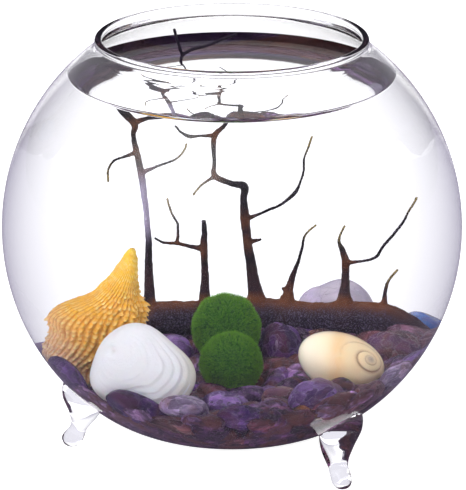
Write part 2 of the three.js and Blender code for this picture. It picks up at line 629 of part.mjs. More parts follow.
/** Middles of the chips that show in the bed's surface, spread over the whole bed. */
function pebbleCentres() {
  const draw = drawFrom(PEBBLE_SEED);
  const centres = [];
  for (let i = 0; i < PEBBLE_DRAWS; i += 1) {
    const [x, y] = [draw(), draw()].map((share) => BOWL_RADIUS * (2 * share - 1));
    const place = new THREE.Vector3(x, y, bedHeight(x, y) * draw());
    const reach = Math.hypot(x, y, place.z - BOWL_CENTRE_Z);
    const depth = bedHeight(x, y) - place.z;
    const shows = reach < BOWL_RADIUS && (reach > BOWL_RADIUS - PEBBLE_REACH || depth < PEBBLE_REACH / 2);
    if (shows && centres.every((other) => other.distanceTo(place) > PEBBLE_REACH)) centres.push(place);
  }
  return centres;
}

/** The bed of chips: one heap that fills the bottom of the bowl, with a chip's round back at each middle. */
function bed() {
  const centres = pebbleCentres();
  const inset = WALL + GAP;
  const radius = BOWL_RADIUS - inset;
  const relief = (place) => {
    const nearest = Math.min(...centres.map((other) => other.distanceToSquared(place)));
    return Math.min(1, nearest / PEBBLE_REACH ** 2);
  };
  const column = (angle) => {
    const [cx, cy] = [Math.cos(angle), Math.sin(angle)];
    let edge = Math.PI / 3;
    for (let i = 0; i < BED_EDGE_STEPS; i += 1) {
      const out = radius * Math.sin(edge);
      edge = Math.acos((BOWL_CENTRE_Z - bedHeight(out * cx, out * cy)) / radius);
    }
    const wall = Array.from({ length: BED_WALL_STEPS }, (_, i) => {
      const drop = (edge * (i + 1)) / (BED_WALL_STEPS + 0.4);
      const out = radius * Math.sin(drop);
      const place = new THREE.Vector3(out * cx, out * cy, wallHeight(drop, inset));
      const inward = new THREE.Vector3(0, 0, BOWL_CENTRE_Z).sub(place).normalize();
      return place.addScaledVector(inward, BED_WALL_CLEAR + BED_WALL_RELIEF * relief(place));
    });
    const rim = (radius - BED_RIM_CLEAR) * Math.sin(edge);
    const top = Array.from({ length: BED_TOP_STEPS }, (_, i) => {
      const out = rim * (1 - i / BED_TOP_STEPS);
      const place = new THREE.Vector3(out * cx, out * cy, bedHeight(out * cx, out * cy));
      place.z += BED_TOP_LIFT - PEBBLE_RELIEF * relief(place);
      place.z -= i === 0 ? BED_RIM_DROP : 0;
      return place;
    });
    return [...wall, ...top];
  };
  const columns = Array.from({ length: BED_SEGMENTS }, (_, j) => column((j * 2 * Math.PI) / BED_SEGMENTS));
  const rings = columns[0].map((_, i) => columns.map((points) => points[i]));
  return solidOf(skinOfRings(rings));
}

// ---------------------------------------------------------------- materials and assembly

const finish = (color, roughness, metalness = 0, opacity = 1) => (
  new THREE.MeshStandardMaterial({ color, roughness, metalness, opacity, transparent: opacity < 1 })
);

/** A block under a plane that slopes along x and y and has its own height on the bowl's axis. */
function blockUnder(slopeX, slopeY, height) {
  const size = 4 * BOWL_RADIUS;
  const block = new THREE.BoxGeometry(size, size, size).translate(0, 0, -size / 2);
  const shear = new THREE.Matrix4().set(
    1, 0, 0, 0,
    0, 1, 0, 0,
    slopeX, slopeY, 1, height,
    0, 0, 0, 1,
  );
  return solidOf(block.applyMatrix4(shear));
}

/** The space of the water above the chips, before the contents' holes are taken out of it. */
function waterBody() {
  const top = BED_Z + BED_CLEAR;
  const ridge = top + (BED_SLOPE_Y - BED_BACK_SLOPE) * BED_BACK_FROM_Y;
  const front = blockUnder(BED_SLOPE_X, BED_SLOPE_Y, top);
  const chips = front.intersect(blockUnder(BED_SLOPE_X, BED_BACK_SLOPE, ridge));
  return cavity(WALL + GAP, WATER_Z).subtract(chips);
}

/** What lies in the bowl and keeps its whole shape: each solid, its hole in the bed and in the water. */
function wholePieces() {
  const bead = { at: BEAD.centre, half: Array(3).fill(BEAD.radius), turn: [0, 0, 0], seed: 0 };
  return [
    {
      name: 'sea_fan',
      solid: seaFan(),
      bedHole: fanHole(),
      waterHole: fanHole(),
      material: finish(0x3b2430, 0.75),
    },
    {
      name: 'shell_cone',
      solid: coneShell(0, CONE_SHELL_SEGMENTS, true),
      bedHole: coneShell(LOOSE_GAP, HOLE_SEGMENTS, false),
      waterHole: coneShell(LOOSE_GAP, HOLE_SEGMENTS, false),
      material: finish(0xd9a441, 0.6),
    },
    {
      name: 'shell_clam',
      solid: clamValve(0, true, CLAM_SEGMENTS),
      bedHole: clamValve(GAP, false, CLAM_SEGMENTS),
      waterHole: clamValve(LOOSE_GAP, false, CLAM_SEGMENTS),
      material: finish(0xf0eeec, 0.45),
    },
    {
      name: 'shell_moon_snail',
      solid: snailShell(0, SNAIL_SEGMENTS),
      bedHole: snailShell(LOOSE_GAP, HOLE_SEGMENTS),
      waterHole: snailShell(LOOSE_GAP, HOLE_SEGMENTS),
      material: finish(0xf3dcb4, 0.3),
    },
    ...MOSS_BALLS.map((ball) => ({
      name: ball.name,
      solid: mossBall(ball, 0, MOSS_DETAIL),
      bedHole: mossBall(ball, COARSE_GAP, HOLE_DETAIL),
      waterHole: mossBall(ball, COARSE_GAP, HOLE_DETAIL),
      material: finish(0x2f6f22, 0.95),
    })),
    {
      name: 'bead_blue',
      solid: stone(bead, 0, STONE_DETAIL),
      bedHole: stone(bead, GAP, STONE_DETAIL),
      waterHole: plainHole(bead),
      material: finish(0x1f6fb5, 0.1),
    },
  ];
}

/** The whole terrarium as a group of named meshes. */
function terrarium() {
  const group = new THREE.Group();
  const room = cavity(WALL + GAP, WATER_Z);
  const pieces = wholePieces();
  for (const item of [...STONES, ...backStones()]) {
    const whole = stone(item, 0, STONE_DETAIL).intersect(room);
    pieces.push({
      name: item.name,
      solid: pieces.reduce((left, other) => left.subtract(other.bedHole), whole),
      bedHole: stone(item, GAP, STONE_DETAIL),
      waterHole: plainHole(item),
      material: finish(item.tint, 0.25),
    });
  }
  const chips = pieces.reduce((left, other) => left.subtract(other.bedHole), bed());
  const water = pieces.reduce((left, other) => left.subtract(other.waterHole), waterBody());
  group.add(meshOf('glass_bowl', bowl(), finish(0xe9f2f5, 0.02, 0, 0.35)));
  group.add(meshOf('amethyst_bed', chips, finish(0x54406b, 0.35)));
  group.add(meshOf('water', water, finish(0xeaf4f8, 0.02, 0, 0.35)));
  for (const { name, solid, material } of pieces) group.add(meshOf(name, solid, material));
  return group;
}

export default terrarium();
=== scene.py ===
"""A round glass bowl terrarium: water, tumbled amethyst, a dried sea fan, moss balls and sea shells.

Every shape is worked out in millimetres, in the part's own frame (+Z up, the feet on Z = 0, the front
towards -Y), and goes into its mesh in metres. Each new piece stands for the plain solid of its name.
"""

import logging
import math
from dataclasses import dataclass
from enum import Enum
from typing import Callable, Optional, Sequence

import bpy
import numpy as np
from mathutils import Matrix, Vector


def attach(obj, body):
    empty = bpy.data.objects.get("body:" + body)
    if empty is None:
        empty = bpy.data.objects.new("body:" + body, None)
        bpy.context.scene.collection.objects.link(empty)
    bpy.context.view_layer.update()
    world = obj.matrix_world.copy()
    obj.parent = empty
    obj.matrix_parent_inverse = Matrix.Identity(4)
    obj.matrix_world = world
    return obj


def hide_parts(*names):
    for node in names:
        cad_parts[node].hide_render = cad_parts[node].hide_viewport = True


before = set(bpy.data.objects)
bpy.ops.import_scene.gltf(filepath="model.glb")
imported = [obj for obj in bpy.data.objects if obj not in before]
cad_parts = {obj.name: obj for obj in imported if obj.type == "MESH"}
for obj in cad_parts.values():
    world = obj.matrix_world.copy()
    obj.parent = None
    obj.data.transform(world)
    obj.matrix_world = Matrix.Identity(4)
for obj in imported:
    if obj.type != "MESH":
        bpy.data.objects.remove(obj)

LOG = logging.getLogger("terrarium")
MM = 0.001
TAU = 2 * math.pi
GOLDEN_ANGLE = math.pi * (3 - math.sqrt(5))
GLASS_IOR = 1.5
WATER_IOR = 1.333
WET_IOR = 1.25
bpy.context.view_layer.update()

Array = np.ndarray
Colour = tuple[float, float, float]
Faces = list[tuple[int, ...]]
Piece = bpy.types.Object
Material = bpy.types.Material
Socket = bpy.types.NodeSocket


# ------------------------------------------------------------------------------ meshes

def new_piece(name: str, points: Array, faces: Sequence[Sequence[int]]) -> Piece:
    """Puts a smooth mesh worked out in millimetres into the scene.

    Args:
        name: The piece's name.
        points: Corners, one row each, in millimetres.
        faces: Corner numbers of each face, anticlockwise seen from outside.

    Returns:
        The new object, at the origin.
    """
    mesh = bpy.data.meshes.new(name)
    mesh.from_pydata((np.asarray(points, float) * MM).tolist(), [], [list(map(int, f)) for f in faces])
    mesh.update()
    mesh.polygons.foreach_set("use_smooth", np.ones(len(mesh.polygons), bool))
    piece = bpy.data.objects.new(name, mesh)
    bpy.context.scene.collection.objects.link(piece)
    return piece


def tube_faces(rings: int, sides: int, first: int = 0) -> Faces:
    """Faces of a closed skin over rings of corners, with a pole corner beyond each end.

    Args:
        rings: How many rings there are.
        sides: How many corners a ring has.
        first: The number of the first corner. The rings' corners follow it, then the two poles.

    Returns:
        The faces, facing away from the skin's axis when the rings turn anticlockwise about it.
    """
    i, j = np.meshgrid(np.arange(rings - 1), np.arange(sides), indexing="ij")
    nxt = (j + 1) % sides
    quads = np.stack([i * sides + j, i * sides + nxt, (i + 1) * sides + nxt, (i + 1) * sides + j], -1)
    pole, last = first + rings * sides, first + (rings - 1) * sides
    around = [(k, (k + 1) % sides) for k in range(sides)]
    return ([tuple(quad) for quad in (quads.reshape(-1, 4) + first).tolist()]
            + [(pole, first + b, first + a) for a, b in around]
            + [(pole + 1, last + a, last + b) for a, b in around])


def turns(sides: int) -> Array:
    """Even steps of the angle round a full turn."""
    return np.linspace(0, TAU, sides, endpoint=False)


def circles(r: Array, z: Array, sides: int) -> Array:
    """Level circles: each radius and height, in columns, as a ring of corners."""
    t = turns(sides)
    return np.stack([r * np.cos(t), r * np.sin(t), np.broadcast_to(z, (len(r), sides))], -1)


def with_poles(rings: Array) -> Array:
    """The rings' corners in one list, and after them the middles of the end rings as poles."""
    return np.concatenate([rings.reshape(-1, 3), rings[:1].mean(1), rings[-1:].mean(1)])


def skin(name: str, rings: Array) -> Piece:
    """A closed piece through rings of corners, with a pole in the middle of each end ring.

    Args:
        name: The piece's name.
        rings: Corners as an array of rings, corners in a ring, and x, y, z.

    Returns:
        The new object.
    """
    return new_piece(name, with_poles(rings), tube_faces(*rings.shape[:2]))


def turned(name: str, profile: Array, sides: int) -> Piece:
    """A piece turned about the upright axis: each profile point (r, z) goes to (r cos t, r sin t, z).

    Args:
        name: The piece's name.
        profile: Points of radius and height from the lower pole, round the outside, to the upper pole.
        sides: Steps round the axis.

    Returns:
        The new object.
    """
    rings = circles(profile[1:-1, :1], profile[1:-1, 1:], sides)
    poles = np.array([[0, 0, profile[0, 1]], [0, 0, profile[-1, 1]]])
    return new_piece(name, np.concatenate([rings.reshape(-1, 3), poles]), tube_faces(len(rings), sides))


def paint(piece: Piece, name: str, colours: Array) -> None:
    """Stores one colour for each corner of the mesh as a colour attribute.

    Args:
        piece: The piece to paint.
        name: The attribute's name, which its material reads.
        colours: Red, green and blue for each corner.
    """
    attribute = piece.data.color_attributes.new(name, "FLOAT_COLOR", "POINT")
    rgba = np.concatenate([colours, np.ones((len(colours), 1))], 1)
    attribute.data.foreach_set("color", rgba.astype(np.float32).ravel())


def dress(piece: Piece, material: Material, slot: str, *nodes: str) -> None:
    """Gives a piece its material and its body, and hides the solids that it stands for.

    Args:
        piece: The piece.
        material: Its material.
        slot: The record's material slot; not used.
        *nodes: The solids that it replaces.
    """
    piece.data.materials.clear()
    piece.data.materials.append(material)
    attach(piece, "root")
    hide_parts(*nodes)


def lined(piece: Piece, material: Material, faces: Array) -> None:
    """Gives some of a piece's faces a further material.

    Args:
        piece: The piece, already dressed.
        material: The further material.
        faces: True for each face that gets it.
    """
    index = np.zeros(len(piece.data.polygons), np.int32)
    piece.data.polygons.foreach_get("material_index", index)
    index[faces] = len(piece.data.materials)
    piece.data.materials.append(material)
    piece.data.polygons.foreach_set("material_index", index)
    piece.data.update()


def baked(piece: Piece) -> None:
    """Applies a piece's modifiers to its mesh.

    Args:
        piece: The piece, whose modifiers are then gone.
    """
    bpy.context.view_layer.update()
    graph = bpy.context.evaluated_depsgraph_get()
    mesh = bpy.data.meshes.new_from_object(piece.evaluated_get(graph))
    old = piece.data
    piece.modifiers.clear()
    piece.data = mesh
    bpy.data.meshes.remove(old)
    piece.data.polygons.foreach_set("use_smooth", np.ones(len(piece.data.polygons), bool))
    piece.data.update()


def rows(items: bpy.types.bpy_prop_collection, name: str) -> Array:
    """Reads one three-part value of each item, such as its normal, a row each.

    Args:
        items: A mesh's corners or faces.
        name: The value's name.

    Returns:
        A row of three for each item.
    """
    flat = np.zeros(len(items) * 3, np.float32)
    items.foreach_get(name, flat)
    return flat.reshape(-1, 3)


def unit(vectors: Array) -> Array:
    """Vectors brought to length one."""
    return vectors / np.maximum(np.linalg.norm(vectors, axis=-1, keepdims=True), 1e-9)


def blend(first: Array, second: Array, share: Array) -> Array:
    """Goes from the first value towards the second by a share."""
    return first + (second - first) * share


def corner_colours(colours: Array) -> Array:
    """Colours on rings of corners in one list, with the two poles' colours after them."""
    flat = colours.reshape(-1, 3)
    return np.clip(np.concatenate([flat, flat[:1], flat[-1:]]), 0, 1)


def waves(points: Array, scale: float, seed: float, octaves: int = 3) -> Array:
    """Soft noise from crossed sine waves: each octave adds waves along turned directions.

    Args:
        points: Places in millimetres.
        scale: The longest wave, in millimetres.
        seed: Shifts the waves, so that no two pieces are alike.
        octaves: How many times the waves are shortened and added.

    Returns:
        One value for each place, about -1 to 1.
    """
    total = np.zeros(points.shape[:-1])
    for octave in range(octaves):
        k = TAU / scale * 1.9 ** octave
        turn = seed * 1.7 + octave * 2.3
        a = points @ np.array([math.cos(turn), math.sin(turn), 0.6]) * k
        b = points @ np.array([0.5, math.cos(turn * 1.3), math.sin(turn * 1.3)]) * k
        c = points @ np.array([math.sin(turn * 0.7), 0.4, math.cos(turn * 0.7)]) * k
        both = np.sin(a + seed) * np.sin(b + 2 * seed) + np.sin(b - seed) * np.sin(c + seed)
        total += both / 1.8 ** octave
    return total / 2


def smooth_path(points: Array, steps: int) -> Array:
    """A curve through all the points: each stretch is the cubic of its four nearest points (Catmull-Rom).

    Args:
        points: Points of any number of values, in order.
        steps: New points on each stretch.

    Returns:
        The points of the curve.
    """
    p = np.concatenate([2 * points[:1] - points[1:2], points, 2 * points[-1:] - points[-2:-1]])
    t = np.linspace(0, 1, steps, endpoint=False)[None, :, None]
    a, b, c, d = (p[k:len(p) - 3 + k, None, :] for k in range(4))
    bend, twist = 2 * a - 5 * b + 4 * c - d, 3 * b - a - 3 * c + d
    curve = 0.5 * (2 * b + (c - a) * t + bend * t ** 2 + twist * t ** 3)
    return np.concatenate([curve.reshape(-1, points.shape[1]), points[-1:]])


def ball_grid(rings: int, sides: int) -> Array:
    """Unit directions on rings from the lower pole to the upper one, poles left out."""
    lift = ((np.arange(rings) + 0.5) / rings * math.pi)[:, None]
    return circles(np.sin(lift), -np.cos(lift), sides)


def turned_by(points: Array, degrees: Sequence[float]) -> Array:
    """Points turned about the z axis, then about y, then about x.

    Args:
        points: The points.
        degrees: The turns about x, y and z.

    Returns:
        The turned points.
    """
    a, b, c = (math.radians(v) for v in degrees)
    rx = np.array([[1, 0, 0], [0, math.cos(a), -math.sin(a)], [0, math.sin(a), math.cos(a)]])
    ry = np.array([[math.cos(b), 0, math.sin(b)], [0, 1, 0], [-math.sin(b), 0, math.cos(b)]])
    rz = np.array([[math.cos(c), -math.sin(c), 0], [math.sin(c), math.cos(c), 0], [0, 0, 1]])
    return points @ (rx @ ry @ rz).T


# ------------------------------------------------------------------------------ shader tools

class NodeGroup(Enum):
    """Shader effects that several materials share, each with its inputs and outputs."""

    MOTTLE = ("Vector Scale Warp Dark Light", "Color Mask")
    GRAIN = ("Vector Scale", "Height")
    CRYSTAL = ("Vector Scale", "Facet Mask")


SOCKET_KINDS = {"Vector": "Vector", "Dark": "Color", "Light": "Color", "Color": "Color"}


class Shader:
    """A short hand for building one node tree."""

    def __init__(self, tree: bpy.types.NodeTree) -> None:
        """Starts on a tree."""
        self.tree = tree

    def fill(self, node: bpy.types.Node, inputs: dict) -> None:
        """Sets or links a node's inputs.

        Args:
            node: The node.
            inputs: Plain values or sockets for its inputs, by name or number.
        """
        for key, value in inputs.items():
            if isinstance(value, Socket):
                self.tree.links.new(value, node.inputs[key])
            elif node.inputs[key].type == "RGBA":
                node.inputs[key].default_value = (*value, 1)
            else:
                node.inputs[key].default_value = value

    def node(self, kind: str, inputs: Optional[dict] = None, **options: object) -> bpy.types.Node:
        """Adds a node.

        Args:
            kind: The node's type without its ShaderNode prefix.
            inputs: Plain values or sockets for its inputs, by name or number.
            **options: The node's own options.

        Returns:
            The new node.
        """
        made = self.tree.nodes.new("ShaderNode" + kind)
        for key, value in options.items():
            setattr(made, key, value)
        self.fill(made, inputs or {})
        return made

    def coords(self) -> Socket:
        """The piece's own coordinates, in metres."""
        return self.node("TexCoord").outputs["Object"]

    def painted(self, attribute: str) -> Socket:
        """The colour that the mesh was painted with."""
        return self.node("Attribute", attribute_name=attribute).outputs["Color"]

    def marks(self, attribute: str) -> bpy.types.bpy_prop_collection:
        """The painted colour's red, green and blue, which stand for marks."""
        return self.node("SeparateColor", {0: self.painted(attribute)}).outputs

    def noise(self, scale: float, detail: float = 4.0, rough: float = 0.55, warp: float = 0.0,
              place: Optional[Socket] = None) -> Socket:
        """A noise texture.

        Args:
            scale: Repeats a metre.
            detail: How many finer layers it has.
            rough: How strong the finer layers are.
            warp: How far it is bent by itself.
            place: The coordinates, or none for the piece's own.

        Returns:
            The factor, 0 to 1.
        """
        values = {"Vector": place or self.coords(), "Scale": scale, "Detail": detail, "Roughness": rough,
                  "Distortion": warp}
        return self.node("TexNoise", values).outputs["Fac"]

    def math(self, operation: str, a: object, b: object = 0.0, clamp: bool = False) -> Socket:
        """One sum on two values or sockets."""
        return self.node("Math", {0: a, 1: b}, operation=operation, use_clamp=clamp).outputs[0]

    def times(self, a: object, b: object) -> Socket:
        """The product of two values or sockets."""
        return self.math("MULTIPLY", a, b)

    def above(self, value: object, limit: float) -> Socket:
        """One where a value is above a limit, else nought."""
        return self.math("GREATER_THAN", value, limit)

    def span(self, value: object, low: float = 0.0, high: float = 1.0, first: float = 0.0, last: float = 1.0,
             soft: bool = False) -> Socket:
        """Maps the range from low to high on to the range from first to last.

        Args:
            value: The value.
            low: The value's lower end.
            high: The value's upper end.
            first: What the lower end becomes.
            last: What the upper end becomes.
            soft: True eases both ends.

        Returns:
            The mapped value, kept within the new range.
        """
        inputs = {"Value": value, 1: low, 2: high, 3: first, 4: last}
        kind = "SMOOTHSTEP" if soft else "LINEAR"
        return self.node("MapRange", inputs, interpolation_type=kind).outputs[0]

    def ramp(self, factor: object, stops: Sequence[tuple[float, Colour]]) -> Socket:
        """A colour ramp.

        Args:
            factor: The place on the ramp.
            stops: Places from 0 to 1, in order, with their colours.

        Returns:
            The colour.
        """
        made = self.node("ValToRGB", {"Fac": factor})
        elements = made.color_ramp.elements
        while len(elements) < len(stops):
            elements.new(0.5)
        for element, (place, colour) in zip(elements, stops):
            element.position = place
            element.color = (*colour, 1)
        return made.outputs["Color"]

    def mix(self, factor: object, a: object, b: object, blend_type: str = "MIX") -> Socket:
        """A mix of two colours, each a colour or a socket."""
        return self.node("Mix", {0: factor, 6: a, 7: b}, data_type="RGBA", blend_type=blend_type).outputs[2]

    def multiply(self, a: object, b: object) -> Socket:
        """Two colours multiplied."""
        return self.mix(1.0, a, b, "MULTIPLY")

    def bump(self, height: Socket, depth: float) -> Socket:
        """A normal from a height, whose full range is `depth` metres."""
        return self.node("Bump", {"Height": height, "Distance": depth, "Strength": 1.0}).outputs[0]

    def group(self, which: NodeGroup, inputs: dict) -> bpy.types.bpy_prop_collection:
        """Places one of the shared effects.

        Args:
            which: The effect.
            inputs: Plain values or sockets for its inputs, by name.

        Returns:
            Its outputs.
        """
        made = self.node("Group", node_tree=shared_group(which))
        self.fill(made, inputs)
        return made.outputs


def new_material(name: str) -> tuple[Material, Shader, bpy.types.Node]:
    """A material with one Principled shader.

    Args:
        name: The material's name.

    Returns:
        The material, the tool for its tree, and its Principled node.
    """
    material = bpy.data.materials.new(name)
    material.use_nodes = True
    return material, Shader(material.node_tree), material.node_tree.nodes["Principled BSDF"]


def shared_group(which: NodeGroup) -> bpy.types.NodeTree:
    """Finds or builds a shared effect.

    MOTTLE mixes two colours by cloudy noise. GRAIN puts out a fine height. CRYSTAL puts out a shade for
    each inner facet of a gem, and a mask of the thin cracks between them.

    Args:
        which: The effect.

    Returns:
        Its node group.
    """
    found = bpy.data.node_groups.get(which.name.lower())
    if found:
        return found
    tree = bpy.data.node_groups.new(which.name.lower(), "ShaderNodeTree")
    for way, names in zip(("INPUT", "OUTPUT"), which.value):
        for name in names.split():
            kind = "NodeSocket" + SOCKET_KINDS.get(name, "Float")
            tree.interface.new_socket(name, in_out=way, socket_type=kind)
    into, out = tree.nodes.new("NodeGroupInput").outputs, tree.nodes.new("NodeGroupOutput")
    shader = Shader(tree)
    place = {"Vector": into["Vector"], "Scale": into["Scale"]}
    if which is NodeGroup.MOTTLE:
        noise = shader.node("TexNoise", {**place, "Detail": 5.0, "Distortion": into["Warp"]}).outputs["Fac"]
        mask = shader.span(noise, 0.32, 0.68)
        shader.fill(out, {"Color": shader.mix(mask, into["Dark"], into["Light"]), "Mask": mask})
    elif which is NodeGroup.CRYSTAL:
        wobble = shader.node("TexNoise", {**place, "Detail": 3.0}).outputs["Color"]
        bent = shader.node("VectorMath", {0: wobble, "Scale": 0.009}, operation="SCALE").outputs[0]
        place["Vector"] = shader.node("VectorMath", {0: into["Vector"], 1: bent}, operation="ADD").outputs[0]
        cells = shader.node("TexVoronoi", place).outputs["Color"]
        edge = shader.node("TexVoronoi", place, feature="DISTANCE_TO_EDGE").outputs["Distance"]
        facet = shader.node("SeparateColor", {0: cells}).outputs[0]
        shader.fill(out, {"Facet": facet, "Mask": shader.span(edge, 0.0, 0.07, 1.0, 0.0)})
    else:
        fine = shader.node("TexNoise", {**place, "Detail": 6.0}).outputs["Fac"]
        pores = shader.node("TexVoronoi", place).outputs["Distance"]
        shader.fill(out, {"Height": shader.math("ADD", fine, shader.times(pores, 0.6))})
    return tree


# ------------------------------------------------------------------------------ finishes

WHITE = (1.0, 1.0, 1.0)
BLACK = (0.0, 0.0, 0.0)


@dataclass(frozen=True)
class ClearFinish:
    """A clear face: its index against what lies outside it, its tint, and the tint of what it mirrors."""

    name: str
    ior: float
    tint: Colour
    mirror: Colour = WHITE

    def material(self) -> Material:
        """Builds the material.

        Returns:
            The material.
        """
        made, shader, bsdf = new_material(self.name)
        shader.fill(bsdf, {"Base Color": self.tint, "Roughness": 0.0, "IOR": self.ior,
                           "Specular Tint": self.mirror, "Transmission Weight": 1.0})
        return made


@dataclass(frozen=True)
class GemCut:
    """What tumbled quartz shows under its polish. Scales are in repeats a metre, shares from 0 to 1."""

    cells: float
    facet_tones: tuple[Colour, Colour]
    crack_share: float
    crack_depth: float
    crack_tint: Colour
    stain: Colour
    stained: tuple[float, float, float]
    fleck_scale: float
    fleck_from: float
    fleck_tint: Colour
    grain: float
    fleck_share: float = 0.3

    def laid_on(self, shader: Shader, place: Socket, colour: Socket, veins: Socket, patches: Socket
                ) -> tuple[Socket, Socket]:
        """Lays facets, cracks, a stain and flecks on a body colour.

        Args:
            shader: The tool for the tree.
            place: The piece's coordinates.
            colour: The body colour.
            veins: Noise that fades the cracks.
            patches: Noise that places the stain.

        Returns:
            The colour, and the height for the bump.
        """
        crystal = shader.group(NodeGroup.CRYSTAL, {"Vector": place, "Scale": self.cells})
        stops = [(0.0, self.facet_tones[0]), (0.6, WHITE), (1.0, self.facet_tones[1])]
        colour = shader.multiply(colour, shader.ramp(crystal["Facet"], stops))
        cracks = shader.times(crystal["Mask"], shader.times(veins, self.crack_share))
        colour = shader.mix(cracks, colour, self.crack_tint)
        low, high, share = self.stained
        colour = shader.mix(shader.span(patches, low, high, 0.0, share), colour, self.stain)
        speck = shader.noise(self.fleck_scale, 3.0, 0.7, 0.0, place)
        flecks = shader.times(shader.above(speck, self.fleck_from), self.fleck_share)
        colour = shader.mix(flecks, colour, self.fleck_tint)
        grain = shader.group(NodeGroup.GRAIN, {"Vector": place, "Scale": self.grain})
        sunk = shader.times(crystal["Mask"], self.crack_depth)
        return colour, shader.math("SUBTRACT", grain["Height"], sunk)


@dataclass(frozen=True)
class StoneFinish:
    """Polished tumbled quartz: two body colours in clouds and streaks, a warm stain and pale cracks."""

    name: str
    dark: Colour
    light: Colour
    stain: Colour
    edge: Colour
    # How strongly a painted backlight glow pales the stone where it lies behind the fan.
    backlit: float = 0.0

    def material(self) -> Material:
        """Builds the material. A backlit stone gets a painted glow: it turns paler where it lies behind the
        fan.

        Returns:
            The material.
        """
        made, shader, bsdf = new_material(self.name)
        place = shader.coords()
        body = shader.group(NodeGroup.MOTTLE, {"Vector": place, "Scale": 95.0, "Warp": 1.4,
                                               "Dark": self.dark, "Light": self.light})
        drawn = shader.node("Mapping", {"Vector": place, "Rotation": (0.5, 0.7, 0.4),
                                        "Scale": (0.25, 1.0, 1.0)}).outputs[0]
        streak = shader.noise(420.0, 5.0, 0.65, 1.0, drawn)
        shade = shader.ramp(streak, [(0.32, (0.55, 0.5, 0.55)), (0.52, WHITE), (0.7, (1.6, 1.5, 1.55))])
        cloud = shader.noise(62.0, 3.0, 0.6, 0.9, place)
        cut = GemCut(cells=230.0, facet_tones=((0.4, 0.36, 0.4), (1.7, 1.6, 1.7)), crack_share=0.34,
                     crack_depth=2.0, crack_tint=self.edge, stain=self.stain, stained=(0.5, 0.62, 0.6),
                     fleck_scale=1100.0, fleck_from=0.69, fleck_tint=self.edge, grain=900.0)
        colour, relief = cut.laid_on(shader, place, shader.multiply(body["Color"], shade), streak, cloud)
        # Painted backlight: behind the fan a backlit stone is mixed towards a pale glow.
        deep = shader.node("SeparateXYZ", {0: place}).outputs["Y"]
        glow = shader.mix(cloud, (0.4, 0.33, 0.5), (0.9, 0.87, 0.97))
        colour = shader.mix(shader.span(deep, 0.024, 0.032, 0.0, self.backlit), colour, glow)
        shader.fill(bsdf, {"Base Color": colour, "Roughness": shader.span(cloud, first=0.06, last=0.24),
                           "Normal": shader.bump(relief, 0.0001), "IOR": WET_IOR,
                           "Subsurface Weight": 0.2, "Subsurface Scale": 0.002,
                           "Subsurface Radius": (0.8, 0.5, 1.0),
                           "Sheen Weight": 0.3, "Sheen Roughness": 0.3, "Sheen Tint": self.edge})
        return made


@dataclass(frozen=True)
class ChipFinish:
    """The heap of chips: each chip's own tint and painted shade from the mesh, with clouds and veins over it.
    """

    name: str
    attribute: str

    def material(self) -> Material:
        """Builds the material.

        Returns:
            The material.
        """
        made, shader, bsdf = new_material(self.name)
        place = shader.coords()
        cloud = shader.noise(190.0, 5.0, 0.6, 0.9, place)
        stops = [(0.32, (0.2, 0.16, 0.19)), (0.5, (0.8, 0.74, 0.78)), (0.7, (2.2, 1.8, 2.0))]
        shade = shader.ramp(cloud, stops)
        body = shader.multiply(shader.painted(self.attribute), shade)
        warm = shader.noise(75.0, 4.0, 0.6, 1.2, place)
        cut = GemCut(cells=260.0, facet_tones=((0.35, 0.3, 0.35), (1.8, 1.7, 1.8)), crack_share=0.22,
                     crack_depth=1.5, crack_tint=(0.5, 0.4, 0.5), stain=(0.105, 0.036, 0.03),
                     stained=(0.47, 0.58, 0.8), fleck_scale=1000.0, fleck_from=0.68,
                     fleck_tint=(0.55, 0.42, 0.55), grain=800.0)
        colour, relief = cut.laid_on(shader, place, body, cloud, warm)
        shader.fill(bsdf, {"Base Color": colour, "Roughness": shader.span(cloud, first=0.1, last=0.38),
                           "Normal": shader.bump(relief, 0.00018), "IOR": WET_IOR, "Sheen Weight": 0.2,
                           "Sheen Roughness": 0.3, "Sheen Tint": (0.5, 0.4, 0.58)})
        return made


@dataclass(frozen=True)
class FanFinish:
    """Dried sea fan: near black stems, brown where it is thick and at its forks, tan at its tips."""

    name: str
    attribute: str
    bark: Colour
    brown: Colour
    tip: Colour
    speck: Colour = (0.095, 0.075, 0.13)
    bleached: Colour = (0.4, 0.35, 0.5)
    bleached_from_z: float = 0.056

    def material(self) -> Material:
        """Builds the material.

        The mesh's red says how brown, its green how near a tip, its blue how speckled or, high up, bleached.

        Returns:
            The material.
        """
        made, shader, bsdf = new_material(self.name)
        place = shader.coords()
        marks = shader.marks(self.attribute)
        cloud = shader.noise(260.0, 5.0, 0.65, 0.5, place)
        brown = shader.math("MULTIPLY", marks[0], shader.math("ADD", cloud, 0.35), clamp=True)
        colour = shader.mix(brown, self.bark, self.brown)
        colour = shader.mix(marks[1], colour, self.tip)
        speck = shader.noise(3400.0, 2.0, 0.6, 0.0, place)
        colour = shader.mix(shader.times(shader.above(speck, 0.58), marks[2]), colour, self.speck)
        high = shader.above(shader.node("SeparateXYZ", {0: place}).outputs["Z"], self.bleached_from_z)
        colour = shader.mix(shader.times(high, marks[2]), colour, self.bleached)
        grain = shader.group(NodeGroup.GRAIN, {"Vector": place, "Scale": 1500.0})
        shader.fill(bsdf, {"Base Color": colour, "Roughness": shader.span(cloud, first=0.45, last=0.8),
                           "Normal": shader.bump(grain["Height"], 0.0002), "IOR": WET_IOR})
        return made


